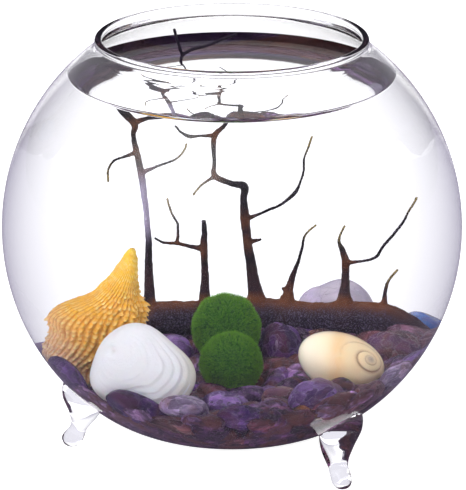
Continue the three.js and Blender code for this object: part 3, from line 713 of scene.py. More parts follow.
@dataclass(frozen=True)
class MossFinish:
    """Moss threads: painted shade at the root and a painted glow at the tip, each tuft in its own shade."""

    name: str
    attribute: str
    root: Colour
    tip: Colour

    def material(self) -> Material:
        """Builds the material. The mesh's red value runs from root to tip, its green is each tuft's shade.

        Returns:
            The material.
        """
        made, shader, bsdf = new_material(self.name)
        marks = shader.marks(self.attribute)
        cloud = shader.noise(420.0, 4.0)
        shade = shader.math("ADD", shader.times(marks[1], 0.7), cloud)
        tone = shader.ramp(shade, [(0.3, (0.6, 0.62, 0.5)), (1.0, (1.25, 1.2, 1.1))])
        # Painted light: dark roots stand for the shade inside the ball, bright tips for light through the
        # threads.
        colour = shader.multiply(shader.mix(marks[0], self.root, self.tip), tone)
        shader.fill(bsdf, {"Base Color": colour, "Roughness": shader.span(cloud, first=0.6, last=0.85),
                           "IOR": WET_IOR})
        return made


@dataclass(frozen=True)
class ShellFinish:
    """A shell whose colours are painted on its mesh, with fine growth grain and its own gloss."""

    name: str
    attribute: str
    roughness: float
    coat: float
    grain_depth: float
    mottle: Colour
    mottle_share: float

    def material(self) -> Material:
        """Builds the material.

        Returns:
            The material.
        """
        made, shader, bsdf = new_material(self.name)
        place = shader.coords()
        cloud = shader.noise(330.0, 5.0, 0.6, 0.7, place)
        patch = shader.span(cloud, 0.45, 0.7, 0.0, self.mottle_share)
        grain = shader.group(NodeGroup.GRAIN, {"Vector": place, "Scale": 1400.0})
        rough = shader.span(cloud, first=self.roughness * 0.8, last=self.roughness * 1.2)
        shader.fill(bsdf, {"Base Color": shader.mix(patch, shader.painted(self.attribute), self.mottle),
                           "Roughness": rough, "Normal": shader.bump(grain["Height"], self.grain_depth),
                           "IOR": WET_IOR, "Coat Weight": self.coat, "Coat Roughness": 0.12,
                           "Coat IOR": WET_IOR, "Subsurface Weight": 0.15, "Subsurface Scale": 0.0015})
        return made


@dataclass(frozen=True)
class BeadFinish:
    """Blue glass with paler swirls."""

    name: str
    deep: Colour
    pale: Colour

    def material(self) -> Material:
        """Builds the material.

        Returns:
            The material.
        """
        made, shader, bsdf = new_material(self.name)
        swirl = shader.group(NodeGroup.MOTTLE, {"Vector": shader.coords(), "Scale": 240.0, "Warp": 2.5,
                                                "Dark": self.deep, "Light": self.pale})
        shader.fill(bsdf, {"Base Color": swirl["Color"], "Coat Weight": 0.6,
                           "Roughness": shader.span(swirl["Mask"], first=0.03, last=0.1)})
        return made


# ------------------------------------------------------------------------------ the bowl and its water

@dataclass
class Bowl:
    """The blown bowl with its neck, lip and three fused feet."""

    radius: float = 75.0
    centre_z: float = 74.0
    wall: float = 1.8
    base_z: float = 10.0
    base_blend: float = 5.0
    shoulder_z: float = 132.8
    rim_z: float = 138.5
    neck: float = 41.2
    lip_inset: float = 1.4
    foot_angles: tuple[float, ...] = (190.5, 310.5, 70.5)
    foot_rest: float = 1.7
    foot_sides: int = 48
    wet_z: float = 126.2
    dry_gap: float = 0.3
    sides: int = 180
    wall_steps: int = 110

    def height(self, drop: Array, inset: float) -> Array:
        """The wall's height: the higher of a ball and the flat base, with their corner softened.

        Args:
            drop: The angle from straight down, at the ball's centre, in radians.
            inset: How far in from the glass's outer face.

        Returns:
            The heights.
        """
        ball = self.centre_z - (self.radius - inset) * np.cos(drop)
        base = self.base_z + inset
        return (ball + base + np.hypot(ball - base, self.base_blend)) / 2

    def wall_profile(self, inset: float, top_z: float) -> Array:
        """Points of radius and height up the wall, from the axis to a height.

        Args:
            inset: How far in from the outer face.
            top_z: Where the profile ends.

        Returns:
            The points.
        """
        end = math.acos((self.centre_z - top_z) / (self.radius - inset))
        drop = np.linspace(0, end, self.wall_steps)
        return np.stack([(self.radius - inset) * np.sin(drop), self.height(drop, inset)], 1)

    def held(self, points: Array, inset: float) -> Array:
        """Draws points that lie too far out straight in towards the ball's centre.

        Args:
            points: The points.
            inset: How far in from the outer face the points have to stay.

        Returns:
            The points, all inside.
        """
        centre = np.array([0, 0, self.centre_z])
        away = points - centre
        reach = np.linalg.norm(away, axis=-1, keepdims=True)
        return centre + away * np.minimum(1, (self.radius - inset) / reach)

    def lip_profile(self) -> Array:
        """The waisted neck and its beaded lip, as a smooth curve up the outer face and down the inner.

        Returns:
            Points of radius and height.
        """
        neck, low, top = self.neck, self.shoulder_z, self.rim_z
        points = np.array([
            [neck + 4.0, low + 1.05], [neck + 3.0, low + 1.95], [neck + 2.35, low + 3.0],
            [neck + 2.2, top - 1.9], [neck + 2.45, top - 1.15], [neck + 2.15, top - 0.35],
            [neck + 1.25, top], [neck + 0.4, top - 0.3], [neck + 0.15, top - 1.1], [neck + 0.4, top - 1.9],
            [neck + 0.67, low + 2.35], [neck + 1.63, low + 0.79], [neck + 2.86, low - 0.35],
        ])
        return smooth_path(points, 5)

    def foot(self, angle: float) -> Piece:
        """One drop-shaped foot: level oval rings from its flat toe, over a narrow waist, to a pad.

        Each spot holds a ring's height, its middle's place out from the axis and to the side, and its
        half sizes. The pad's rings slide on to the bowl's round wall, so that the foot flows into it.

        Args:
            angle: Where it stands round the bowl, in degrees from +X.

        Returns:
            The foot as an object.
        """
        spots = np.array([
            [0.0, 54.2, 0, self.foot_rest, self.foot_rest], [0.25, 54.2, 0, 2.35, 2.1],
            [1.2, 54.2, 0, 3.2, 2.75], [3.0, 54.0, 0, 3.75, 3.15], [4.6, 53.2, 0.1, 3.5, 3.2],
            [6.4, 52.1, 0.3, 3.05, 3.35], [8.6, 51.0, 0.8, 3.5, 4.2], [11.0, 50.3, 1.3, 4.6, 5.1],
            [13.5, 49.9, 1.9, 5.6, 5.8], [16.0, 50.0, 2.4, 6.4, 6.4], [19.0, 50.3, 2.8, 7.1, 6.8],
            [22.5, 50.6, 3.2, 6.8, 6.4], [26.0, 51.0, 3.4, 5.4, 5.1],
        ])
        path = smooth_path(spots, 5)
        t = turns(self.foot_sides)
        z, out, side, thick, wide = (path[:, k:k + 1] for k in range(5))
        level = np.broadcast_to(z, (len(z), self.foot_sides))
        rings = np.stack([out + thick * np.cos(t), side + wide * np.sin(t), level], -1)
        away = rings - [0, 0, self.centre_z]
        far = np.linalg.norm(rings[..., :2], axis=-1)
        drop = np.arctan2(far, -away[..., 2])
        reach = self.radius - self.wall / 2
        inside = np.linalg.norm(away, axis=-1) < reach
        rings[..., :2] *= np.where(inside, reach * np.sin(drop) / far, 1)[..., None]
        rings[..., 2] = np.where(inside, self.height(drop, self.wall / 2), rings[..., 2])
        return skin("foot", turned_by(rings, (0, 0, angle)))

    def wetted(self, bowl: Piece) -> Array:
        """Finds the faces of the bowl's inside that the water touches.

        Args:
            bowl: The bowl.

        Returns:
            True for each face that looks in towards the ball's centre and lies below the water's edge.
        """
        middles, normals = rows(bowl.data.polygons, "center") / MM, rows(bowl.data.polygons, "normal")
        inward = [0, 0, self.centre_z] - middles
        near = np.linalg.norm(inward, axis=1) < self.radius - self.wall / 2
        return (np.sum(inward * normals, 1) > 0) & near & (middles[:, 2] < self.wet_z)

    def build(self, finish: ClearFinish, wet: ClearFinish) -> Piece:
        """Turns the bowl, fuses the feet on, and dresses it.

        Args:
            finish: The glass.
            wet: The glass where it meets the water.

        Returns:
            The bowl.
        """
        outside = self.wall_profile(0, self.shoulder_z)
        below = self.wall_profile(self.wall, self.wet_z)
        above = self.wall_profile(self.wall, self.shoulder_z - self.lip_inset)
        inside = np.concatenate([below, above[above[:, 1] > self.wet_z + self.dry_gap]])[::-1]
        bowl = turned("bowl_glass", np.concatenate([outside, self.lip_profile(), inside]), self.sides)
        feet = [self.foot(angle) for angle in self.foot_angles]
        for foot in feet:
            union = bowl.modifiers.new("fuse", "BOOLEAN")
            union.operation = "UNION"
            union.solver = "EXACT"
            union.object = foot
        baked(bowl)
        for foot in feet:
            bpy.data.objects.remove(foot)
        dress(bowl, finish.material(), "bowl_glass", "glass_bowl")
        lined(bowl, wet.material(), self.wetted(bowl))
        return bowl


@dataclass
class Water:
    """The water. Its side bends no light: the glass's wetted face has the index of glass to water."""

    bowl: Bowl
    level: float = 122.6
    gap: float = 0.02
    rise: float = 3.6
    rise_width: float = 1.9
    brim_width: float = 2.1

    def build(self, finish: ClearFinish, side: ClearFinish, brim: ClearFinish) -> Piece:
        """Turns the water; near the wall its surface rises as the height e^(-d/width).

        Args:
            finish: The water's surface.
            side: The water where it meets the glass.
            brim: The steep edge of its surface, tinted dark to paint the dark line round the water.

        Returns:
            The water.
        """
        wall = self.bowl.wall_profile(self.bowl.wall + self.gap, self.level + self.rise)
        edge = wall[-1, 0]
        inward = np.concatenate([np.geomspace(0.03, 12, 48), np.linspace(13, edge - 0.5, 24)])
        top = self.level + self.rise * np.exp(-inward / self.rise_width)
        profile = np.concatenate([wall, np.stack([edge - inward, top], 1), [[0, self.level]]])
        water = turned("still_water", profile, self.bowl.sides)
        dress(water, finish.material(), "water", "water")
        rings, wall_bands = len(profile) - 2, len(wall) - 2
        band = np.repeat(np.arange(rings + 1), self.bowl.sides)
        lined(water, side.material(), (band < wall_bands) | (band == rings - 1))
        # The brim's dark tints paint the dark line round the water's edge.
        brim_end = wall_bands + np.sum(inward < self.brim_width)
        lined(water, brim.material(), (band >= wall_bands) & (band < brim_end))
        return water


# ------------------------------------------------------------------------------ stones

class Gem(Enum):
    """The kinds of tumbled quartz, by the record's slot."""

    DARK = "amethyst_dark"
    PURPLE = "amethyst_purple"
    PALE = "amethyst_pale"
    BROWN = "amethyst_brown"


@dataclass(frozen=True)
class StoneSpec:
    """One tumbled stone: its node, centre, half sizes, turns, seed and kind."""

    node: str
    at: tuple[float, float, float]
    half: tuple[float, float, float]
    turn: tuple[float, float, float]
    seed: int
    gem: Gem


def stone_reach(n: Array, seed: float, boxiness: float = 2.5) -> Array:
    """How far a stone reaches in each unit direction: a rounded box times a few low waves.

    Args:
        n: The directions.
        seed: Shifts the waves, so that no two stones are alike.
        boxiness: Two gives a ball, more than two a box with ever sharper corners.

    Returns:
        The reach in each direction, as a share of the half sizes.
    """
    box = np.sum(np.abs(n) ** boxiness, -1) ** (-1 / boxiness)
    x, y, z = n[..., 0], n[..., 1], n[..., 2]
    lumps = (1 + 0.07 * np.sin(2.3 * x + 1.9 * seed) + 0.06 * np.sin(2.9 * y + 2.7 * seed)
             + 0.05 * np.sin(3.3 * z + 3.1 * seed) + 0.035 * np.sin(5.1 * (x + y) + 0.7 * seed))
    return box * lumps


@dataclass
class Stones:
    """The tumbled stones that are seen one by one."""

    bowl: Bowl
    rings: int = 40
    sides: int = 60
    clear: float = 2.0
    specs: tuple[StoneSpec, ...] = (
        StoneSpec("stone_long_purple", (-28.3, -45.3, 33.0), (11, 5.4, 6.3), (0, 26, 24), 3, Gem.DARK),
        StoneSpec("stone_blue_violet", (-47.3, -27.0, 36.2), (6.6, 8.6, 7.2), (20, 30, 26), 5, Gem.DARK),
        StoneSpec("stone_grey_pink", (-13.6, -46.2, 35.6), (7.2, 4.6, 4.2), (0, 8, 12), 7, Gem.PALE),
        StoneSpec("stone_white_edge", (-16.6, -50.6, 28.6), (7.6, 4.4, 4.4), (10, 6, 16), 9, Gem.BROWN),
        StoneSpec("stone_front_right", (24.6, -41.5, 37.6), (8.4, 5.6, 6), (0, 14, -20), 11, Gem.PURPLE),
        StoneSpec("stone_red_brown", (38.8, -34.6, 33.6), (7.6, 5.2, 6.2), (0, -20, -38), 13, Gem.BROWN),
        StoneSpec("stone_lavender_right", (47.6, -22.5, 35.4), (5.6, 9.2, 7.2), (0, -24, -24), 15, Gem.PALE),
        StoneSpec("stone_wine", (37.8, 5.6, 41.2), (6.6, 5.4, 4.6), (0, 14, 10), 17, Gem.BROWN),
        StoneSpec("stone_round_brown", (47.4, 10.0, 41.2), (4.8, 4.6, 4.4), (0, 0, 30), 19, Gem.BROWN),
        StoneSpec("stone_dark_violet", (11.6, 7.4, 41.2), (5.0, 4.6, 5.4), (0, 10, 20), 21, Gem.DARK),
        StoneSpec("stone_pale_behind", (20.8, 41.5, 40.6), (7.2, 5.6, 5.8), (0, -10, 0), 23, Gem.PALE),
        StoneSpec("stone_lavender_mid", (-13.2, 1.6, 41.2), (4.4, 4.8, 4.8), (0, 20, 0), 25, Gem.PURPLE),
        StoneSpec("stone_front_low", (3.6, -52.6, 33.4), (7.6, 4.8, 4.6), (0, 6, 0), 31, Gem.DARK),
        StoneSpec("stone_chip_front", (12.6, -29.5, 36.4), (4.6, 3.8, 3.2), (10, 20, 30), 33, Gem.BROWN),
        StoneSpec("stone_by_moss", (-1.4, -32.4, 35.0), (6.2, 4.8, 3.8), (0, 10, 40), 37, Gem.PURPLE),
    )
    back_gems: tuple[Gem, ...] = (Gem.PURPLE, Gem.PALE, Gem.BROWN, Gem.DARK, Gem.PALE, Gem.PURPLE, Gem.DARK)

    def all_specs(self, bed: "Bed") -> list[StoneSpec]:
        """The stones listed one by one, and those that a rule lays round the sides and the back.

        Args:
            bed: The heap that they lie on.

        Returns:
            Every stone.
        """
        specs = list(self.specs)
        for i, gem in enumerate(self.back_gems):
            angle = math.radians(-8 + 198 * i / (len(self.back_gems) - 1))
            out = 50 + 4 * math.sin(2.1 * i)
            x, y = out * math.cos(angle), out * math.sin(angle)
            size = 5.4 + 1.4 * math.sin(1.7 * i + 0.6)
            at = (x, y, float(bed.mean_height(x, y)) - 0.6)
            turn = (9 * math.sin(i), 9 * math.cos(2 * i), math.degrees(angle) + 90)
            half = (size * 1.3, size, size * 0.72)
            specs.append(StoneSpec(f"stone_round_the_back_{i + 1}", at, half, turn, 41 + 2 * i, gem))
        return specs

    def build(self, bed: "Bed", finishes: dict[Gem, StoneFinish]) -> list[Piece]:
        """Builds each stone: the same rounded, lumpy form as its solid, kept inside the glass.

        Args:
            bed: The heap that they lie on.
            finishes: The finish of each kind.

        Returns:
            The stones.
        """
        materials = {gem: finish.material() for gem, finish in finishes.items()}
        n = ball_grid(self.rings, self.sides)
        made = []
        for spec in self.all_specs(bed):
            points = n * stone_reach(n, spec.seed)[..., None] * np.array(spec.half)
            points = points + n * 0.12 * waves(points, 5.0, spec.seed)[..., None]
            points = turned_by(points, spec.turn) + np.array(spec.at)
            stone = skin(spec.node + "_polished", self.bowl.held(points, self.clear))
            dress(stone, materials[spec.gem], spec.gem.value, spec.node)
            made.append(stone)
        return made


@dataclass
class Bed:
    """The heap of amethyst chips that fills the bottom of the bowl."""

    bowl: Bowl
    height: float = 37.5
    slope_x: float = 0.04
    slope_y: float = 0.1
    back_from_y: float = 20.0
    back_slope: float = -0.25
    chip_rings: int = 7
    chip_sides: int = 12
    wall_chips: int = 210
    wall_chip_size: float = 8.0
    top_chips: int = 400
    top_chip_size: float = 4.4
    core_inset: float = 4.2
    core_drop: float = 1.2
    core_sides: int = 72
    core_top_rings: int = 16
    glass_gap: float = 0.1
    tints: tuple[Colour, ...] = (
        (0.05, 0.025, 0.085), (0.09, 0.045, 0.15), (0.04, 0.016, 0.05), (0.17, 0.1, 0.24), (0.1, 0.035, 0.05),
        (0.17, 0.07, 0.025), (0.24, 0.16, 0.3), (0.07, 0.035, 0.1), (0.12, 0.055, 0.12),
    )
    side_tint: Colour = (0.24, 0.2, 0.34)
    low_tint: Colour = (0.07, 0.026, 0.06)
    # The closed heap under the chips is near black: painted shade in the gaps between the chips.
    core_gap_shade: Colour = (0.04, 0.02, 0.05)
    attribute: str = "chip_tint_and_shade"

    def mean_height(self, x: Array, y: Array) -> Array:
        """The mean height of the bed: it rises gently to the back, and falls behind the fan."""
        behind = np.maximum(0, y - self.back_from_y)
        return self.height + self.slope_x * x + self.slope_y * (y - behind) + self.back_slope * behind

    def wall_places(self, draw: np.random.Generator) -> tuple[Array, Array]:
        """Places against the glass, spread evenly by the golden angle.

        Args:
            draw: The source of the random draws.

        Returns:
            The places, and the way out to the glass at each.
        """
        k = np.arange(self.wall_chips * 2) + 0.5
        z = -1 + k / self.wall_chips * 0.58
        turn = k * GOLDEN_ANGLE
        r = np.sqrt(np.maximum(0, 1 - z * z))
        n = unit(np.stack([r * np.cos(turn), r * np.sin(turn), z], 1) + draw.normal(0, 0.012, (len(k), 3)))
        places = n * (self.bowl.radius - self.bowl.wall - 3.6) + [0, 0, self.bowl.centre_z]
        places[:, 2] = np.maximum(places[:, 2], self.bowl.base_z + self.bowl.wall + 3.2)
        below = places[:, 2] < self.mean_height(places[:, 0], places[:, 1]) - 1.0
        return places[below], n[below]

    def top_places(self, draw: np.random.Generator) -> tuple[Array, Array]:
        """Places over the top of the heap, on a sunflower spiral: the radius grows with the root of the count.

        Args:
            draw: The source of the random draws.

        Returns:
            The places, and the way up at each.
        """
        k = np.arange(self.top_chips) + 0.5
        ball, drop = self.bowl.radius - self.bowl.wall, self.bowl.centre_z - self.height
        r = (math.sqrt(ball ** 2 - drop ** 2) - 4) * np.sqrt(k / self.top_chips)
        turn = k * GOLDEN_ANGLE
        x = r * np.cos(turn) + draw.normal(0, 0.8, len(k))
        y = r * np.sin(turn) + draw.normal(0, 0.8, len(k))
        z = self.mean_height(x, y) - 0.6 + draw.normal(0, 0.7, len(k))
        return np.stack([x, y, z], 1), np.tile([0.0, 0.0, 1.0], (len(k), 1))

    def chips(self, places: Array, out: Array, size: float, draw: np.random.Generator) -> Array:
        """Rounded chips: balls drawn to three unlike half sizes, the least of them along `out`.

        Args:
            places: Their middles.
            out: The way that each turns its flat side.
            size: Their mean half length.
            draw: The source of the random draws.

        Returns:
            Corners as chips, corners of a chip, and x, y, z; the last two corners are the poles.
        """
        n = ball_grid(self.chip_rings, self.chip_sides).reshape(-1, 3)
        n = np.concatenate([n, [[0, 0, -1], [0, 0, 1]]])
        count = len(places)
        half = size * draw.uniform([0.85, 0.65, 0.5], [1.4, 1.05, 0.75], (count, 3))
        reach = np.stack([stone_reach(n, seed, 2.7) for seed in draw.uniform(0, 50, count)])
        local = n[None] * reach[..., None] * half[:, None]
        side = unit(np.cross(out, draw.normal(0, 1, (count, 3))))
        up = unit(out + draw.normal(0, 0.3, (count, 3)))
        side = unit(side - up * np.sum(side * up, 1, keepdims=True))
        third = np.cross(up, side)
        return (places[:, None] + local[..., :1] * side[:, None] + local[..., 1:2] * third[:, None]
                + local[..., 2:] * up[:, None])

    def core(self) -> Array:
        """The closed heap under the chips: the wall drawn in, closed by the tilted top.

        Returns:
            The rings, from the bottom up the wall and in over the top.
        """
        inset = self.bowl.wall + self.core_inset
        wall = self.bowl.wall_profile(inset, self.height)[1::4]
        top = wall[-1, 0] * np.linspace(1, 0.04, self.core_top_rings)[:, None]
        z = np.concatenate([wall[:-1, 1:], np.full(top.shape, np.inf)])
        rings = circles(np.concatenate([wall[:-1, :1], top]), z, self.core_sides)
        surface = self.mean_height(rings[..., 0], rings[..., 1]) - self.core_drop
        rings[..., 2] = np.minimum(rings[..., 2], surface)
        room = (self.bowl.radius - inset) ** 2 - (self.bowl.centre_z - rings[..., 2:]) ** 2
        out = np.linalg.norm(rings[..., :2], axis=-1, keepdims=True)
        rings[..., :2] *= np.minimum(1, np.sqrt(np.maximum(room, 1)) / np.maximum(out, 0.1))
        return rings

    def colours(self, chips: Array, draw: np.random.Generator) -> Array:
        """Each chip's tint: paler towards the sides, darker and redder low down, and with painted shade deep
        in the heap.

        Args:
            chips: The chips' corners.
            draw: The source of the random draws.

        Returns:
            A colour for each corner.
        """
        count, corners, _ = chips.shape
        middles = chips.mean(1)
        tints = np.array(self.tints)[draw.integers(0, len(self.tints), count)]
        tints = tints * draw.uniform(0.7, 1.35, (count, 1))
        aside = np.clip((np.abs(middles[:, :1]) - 30) / 22, 0, 1)
        tints = blend(tints, np.array(self.side_tint) * draw.uniform(0.5, 1.4, (count, 1)), aside * 0.7)
        low = np.clip((32 - middles[:, 2:]) / 8, 0, 1)
        tints = blend(tints, np.array(self.low_tint) * draw.uniform(0.6, 1.5, (count, 1)), low * 0.75)
        # Painted shade: chips sunk below the heap's surface get darker with depth, except those against the
        # glass.
        deep = self.mean_height(chips[..., 0], chips[..., 1]) + 1.6 - chips[..., 2]
        away = np.linalg.norm(chips - [0, 0, self.bowl.centre_z], axis=-1)
        against = away > self.bowl.radius - self.bowl.wall - self.glass_gap - 4
        shade = np.where(against, 1.0, np.clip(1.15 - 0.2 * deep, 0.25, 1))
        return shade.reshape(-1, 1) * np.repeat(tints, corners, 0)

    def build(self, finish: ChipFinish, keep_clear: Callable[[Array, float], Array]) -> Piece:
        """Builds the heap as one mesh.

        Args:
            finish: The chips' finish.
            keep_clear: Says which places a chip of a given half size may take.

        Returns:
            The heap.
        """
        draw = np.random.default_rng(11)
        wall_at, wall_out = self.wall_places(draw)
        top_at, top_out = self.top_places(draw)
        wall_ok, top_ok = keep_clear(wall_at, 3.0), keep_clear(top_at, 2.2)
        chips = np.concatenate([self.chips(wall_at[wall_ok], wall_out[wall_ok], self.wall_chip_size, draw),
                                self.chips(top_at[top_ok], top_out[top_ok], self.top_chip_size, draw)])
        chips = self.bowl.held(chips, self.bowl.wall + self.glass_gap)
        chips[..., 2] = np.maximum(chips[..., 2], self.bowl.base_z + self.bowl.wall + 0.5)
        count, corners, _ = chips.shape
        core = self.core()
        grid = (self.chip_rings, self.chip_sides)
        faces = [face for k in range(count) for face in tube_faces(*grid, k * corners)]
        faces += tube_faces(*core.shape[:2], count * corners)
        core = with_poles(core)
        heap = new_piece("amethyst_heap", np.concatenate([chips.reshape(-1, 3), core]), faces)
        # The heap under the chips gets the near black of painted shade in the gaps.
        dark = np.tile(self.core_gap_shade, (len(core), 1))
        paint(heap, self.attribute, np.concatenate([self.colours(chips, draw), dark]))
        dress(heap, finish.material(), "amethyst_chips", "amethyst_bed")
        return heap


# ------------------------------------------------------------------------------ the sea fan

@dataclass
class SeaFan:
    """The dried sea fan, fused into one skin from smooth tapered stems.

    Each point of the ridge and the branches holds x, y from the fan's plane, z and the stem's radius.
    """

    plane_y: float = 23.0
    twig: float = 0.3
    slimmer: float = 0.1
    ridge_depth: float = 0.85
    voxel: float = 0.24
    sides: int = 10
    rough_below_z: float = 49.0
    marks_below_z: float = 115.0
    attribute: str = "fan_marks"
    ridge: tuple[tuple[float, ...], ...] = (
        (-20.5, 0, 42.5, 2.6), (-17, 0, 43.9, 3.9), (-9, 0.6, 43.8, 3.9), (0, 1.0, 44.1, 4.1),
        (9, 0.6, 44.1, 4.1), (18, 0, 43.8, 4.0), (27, -0.6, 44.1, 4.1), (33.6, 0, 43.6, 4.1),
        (37.4, 0.4, 41.9, 3.5), (39.6, 0.6, 40.6, 2.9), (43.5, 1.0, 40.0, 2.6),
    )
    branches: tuple[tuple[tuple[float, ...], ...], ...] = (
        ((-18.0, 0, 44, 2.2), (-18.4, 0, 48, 1.5), (-18.9, 0, 55, 1.1), (-19.1, 0.3, 62.5, 0.85),
         (-19.8, 0.5, 70, 0.8), (-20.8, 0.5, 77.5, 0.95), (-22.2, 0.4, 84.5, 0.85),
         (-23.0, 0, 88.5, 0.7), (-22.9, -0.3, 91.6, 1.0), (-26.4, -0.8, 96, 1.1),
         (-29.2, -1.2, 103, 0.7), (-30.4, -1.6, 110.5, 0.4)),
        ((-22.9, -0.3, 91.6, 0.9), (-19.6, 0, 92.6, 0.6), (-14.6, 0.6, 93.6, 0.55),
         (-12.6, 1.0, 100, 0.55), (-13.6, 1.2, 109, 0.5), (-15.6, 1.2, 118, 0.5),
         (-16.2, 1.2, 125.5, 0.7), (-6.5, 1.2, 129.4, 0.65), (1.6, 1.6, 132.6, 0.6)),
        ((-16.2, 1.2, 125.0, 0.7), (-18.0, 1.2, 130.4, 0.65), (-19.0, 0.8, 134.4, 0.6)),
        ((-15.8, 1.2, 121.0, 0.5), (-21.0, 1.6, 118.0, 0.45), (-25.6, 2.0, 117.6, 0.4)),
        ((-22.0, 0.4, 84.0, 0.7), (-25.4, -0.4, 83.1, 0.45), (-27.6, -1.0, 82.0, 0.42),
         (-28.8, -1.4, 79.8, 0.4), (-28.6, -1.6, 77.2, 0.4)),
        ((-20.7, 0.5, 78.8, 0.7), (-17.0, 1.0, 80.3, 0.45), (-13.2, 1.6, 81.6, 0.42),
         (-11.2, 2.0, 83.5, 0.4), (-10.4, 2.2, 85.4, 0.4)),
        ((-6.0, 0.4, 44, 2.6), (-6.1, 0.4, 49.5, 1.35), (-6.2, 0.2, 56, 0.95), (-6.5, 0, 61, 1.0),
         (-6.3, 0, 64, 0.8), (-6.5, 0, 67.2, 0.65)),
        ((-6.6, 0, 60.2, 0.9), (-9.4, -0.4, 60.9, 0.6), (-12.7, -0.8, 61.8, 0.55),
         (-15.7, -1.2, 62.3, 0.45), (-17.8, -1.6, 63.6, 0.4)),
        ((-12.6, -0.8, 61.6, 0.55), (-12.4, -0.4, 66, 0.45), (-13.9, 0, 69, 0.42), (-15, 0.2, 72.7, 0.4)),
        ((6.0, 0.8, 44, 3.2), (5.2, 0.8, 50.5, 1.75), (4.2, 0.6, 57.5, 1.3), (3.4, 0.4, 63, 1.15),
         (3.0, 0.2, 68, 1.25), (2.7, 0, 72.5, 0.95), (2.8, 0, 75.6, 1.1), (-0.3, -0.4, 76.5, 0.8),
         (-4.0, -0.8, 78.6, 0.85), (-4.1, -0.6, 82, 0.6), (-4.1, -0.3, 88.2, 0.8),
         (-1.6, 0, 91.4, 0.6), (0.8, 0.4, 97, 0.5), (1.6, 0.8, 105, 0.45), (-1.0, 1.0, 112, 0.42),
         (-4.2, 1.0, 118.5, 0.4)),
        ((-4.1, -0.3, 88.5, 0.7), (-7.4, -0.8, 88.7, 0.45), (-10, -1.2, 88.7, 0.6),
         (-12, -1.6, 90, 0.42), (-13.4, -2.0, 91.8, 0.4)),
        ((-4.2, -0.8, 78.4, 0.6), (-6.8, -1.4, 76.8, 0.42), (-9.1, -2.0, 74.2, 0.4)),
        ((3.2, 0.2, 67.4, 0.8), (6.0, -0.4, 68.8, 0.5), (8.7, -1.0, 70.3, 0.48), (11.4, -1.4, 71.7, 0.45),
         (14.3, -1.6, 74.3, 0.6), (15.8, -1.4, 76.6, 0.45), (16.7, -1.0, 80, 0.42),
         (17.1, -0.6, 83.5, 0.4), (18.9, 0, 88.2, 0.4)),
        ((3.5, 0.4, 61.8, 0.8), (6.8, 1.0, 62.4, 0.4)),
        ((12.0, 0.4, 45, 2.7), (12.8, 0.4, 50.2, 1.2), (13.8, 0.2, 54, 0.8), (15.2, -0.2, 57.5, 0.55),
         (16.3, -0.6, 61.5, 0.48), (16.9, -1.0, 64, 0.42), (19.6, -1.6, 66.7, 0.4)),
        ((13.0, 0.4, 50.8, 0.9), (11.2, 0.8, 50.6, 0.4)),
        ((25.0, -0.4, 45, 2.9), (25.2, -0.4, 50, 1.4), (25.6, -0.4, 54, 1.0), (25.7, -0.4, 57.5, 1.0),
         (25.1, -0.2, 60, 0.8), (24.3, 0, 62.6, 0.45), (25.8, 0.2, 66, 0.4)),
        ((25.8, -0.4, 57.2, 0.8), (28.5, -0.8, 57.6, 0.45), (30.8, -1.2, 58.2, 0.45), (32.7, -1.4, 59.2, 0.5),
         (34, -1.6, 61.3, 0.45), (37, -1.8, 64.9, 0.48), (38.7, -1.8, 67.3, 0.42),
         (40.3, -1.6, 70.2, 0.4), (42, -1.2, 73.4, 0.4)),
        ((33.2, 0, 44.5, 1.9), (33.4, 0, 48.8, 0.7), (34.3, 0.4, 52.3, 0.45), (36.4, 1.0, 55.4, 0.4)),
    )

    def stem(self, points: Sequence[Sequence[float]], depth: float, slimmer: float) -> Array:
        """The rings of one stem: circles set across a smooth curve through its points.

        Args:
            points: The stem's points.
            depth: The depth of its section as a share of its width.
            slimmer: What is taken off the radius, to make the twigs as slender as real ones.

        Returns:
            The rings.
        """
        path = smooth_path(np.array(points, float), 6)
        centre = path[:, :3] + [0, self.plane_y, 0]
        radius = np.maximum(path[:, 3] - slimmer, self.twig)[:, None, None]
        centre = centre + 0.12 * np.stack([waves(centre, 9, 1), waves(centre, 8, 2), waves(centre, 10, 3)], 1)
        ahead = unit(np.gradient(centre, axis=0))
        across = unit(np.cross(ahead, [0.0, 1.0, 0.0]))
        deep = np.cross(across, ahead)
        t = turns(self.sides)[None, :, None]
        return centre[:, None] + radius * (np.cos(t) * across[:, None] + depth * np.sin(t) * deep[:, None])

    def build(self, finish: FanFinish) -> Piece:
        """Joins the stems by a fine voxel skin, roughens it, and paints its marks.

        Args:
            finish: The fan's finish.

        Returns:
            The fan.
        """
        stems = [self.stem(self.ridge, self.ridge_depth, 0)]
        stems += [self.stem(branch, 1.0, self.slimmer) for branch in self.branches]
        points, faces, first = [], [], 0
        for rings in stems:
            points.append(with_poles(rings))
            faces += tube_faces(len(rings), self.sides, first)
            first += len(points[-1])
        fan = new_piece("sea_fan_dried", np.concatenate(points), faces)
        remesh = fan.modifiers.new("fuse", "REMESH")
        remesh.mode = "VOXEL"
        remesh.voxel_size = self.voxel * MM
        soften = fan.modifiers.new("soften", "SMOOTH")
        soften.iterations = 2
        soften.factor = 0.5
        baked(fan)
        vertices = fan.data.vertices
        co = rows(vertices, "co") / MM
        rough = 0.05 * waves(co, 1.6, 4, 2) + 0.22 * waves(co, 5.5, 7) * (co[:, 2] < self.rough_below_z)
        co = co + rows(vertices, "normal") * rough[:, None]
        vertices.foreach_set("co", (co * MM).astype(np.float32).ravel())
        fan.data.update()
        paint(fan, self.attribute, self.marks(co))
        dress(fan, finish.material(), "sea_fan", "sea_fan")
        return fan

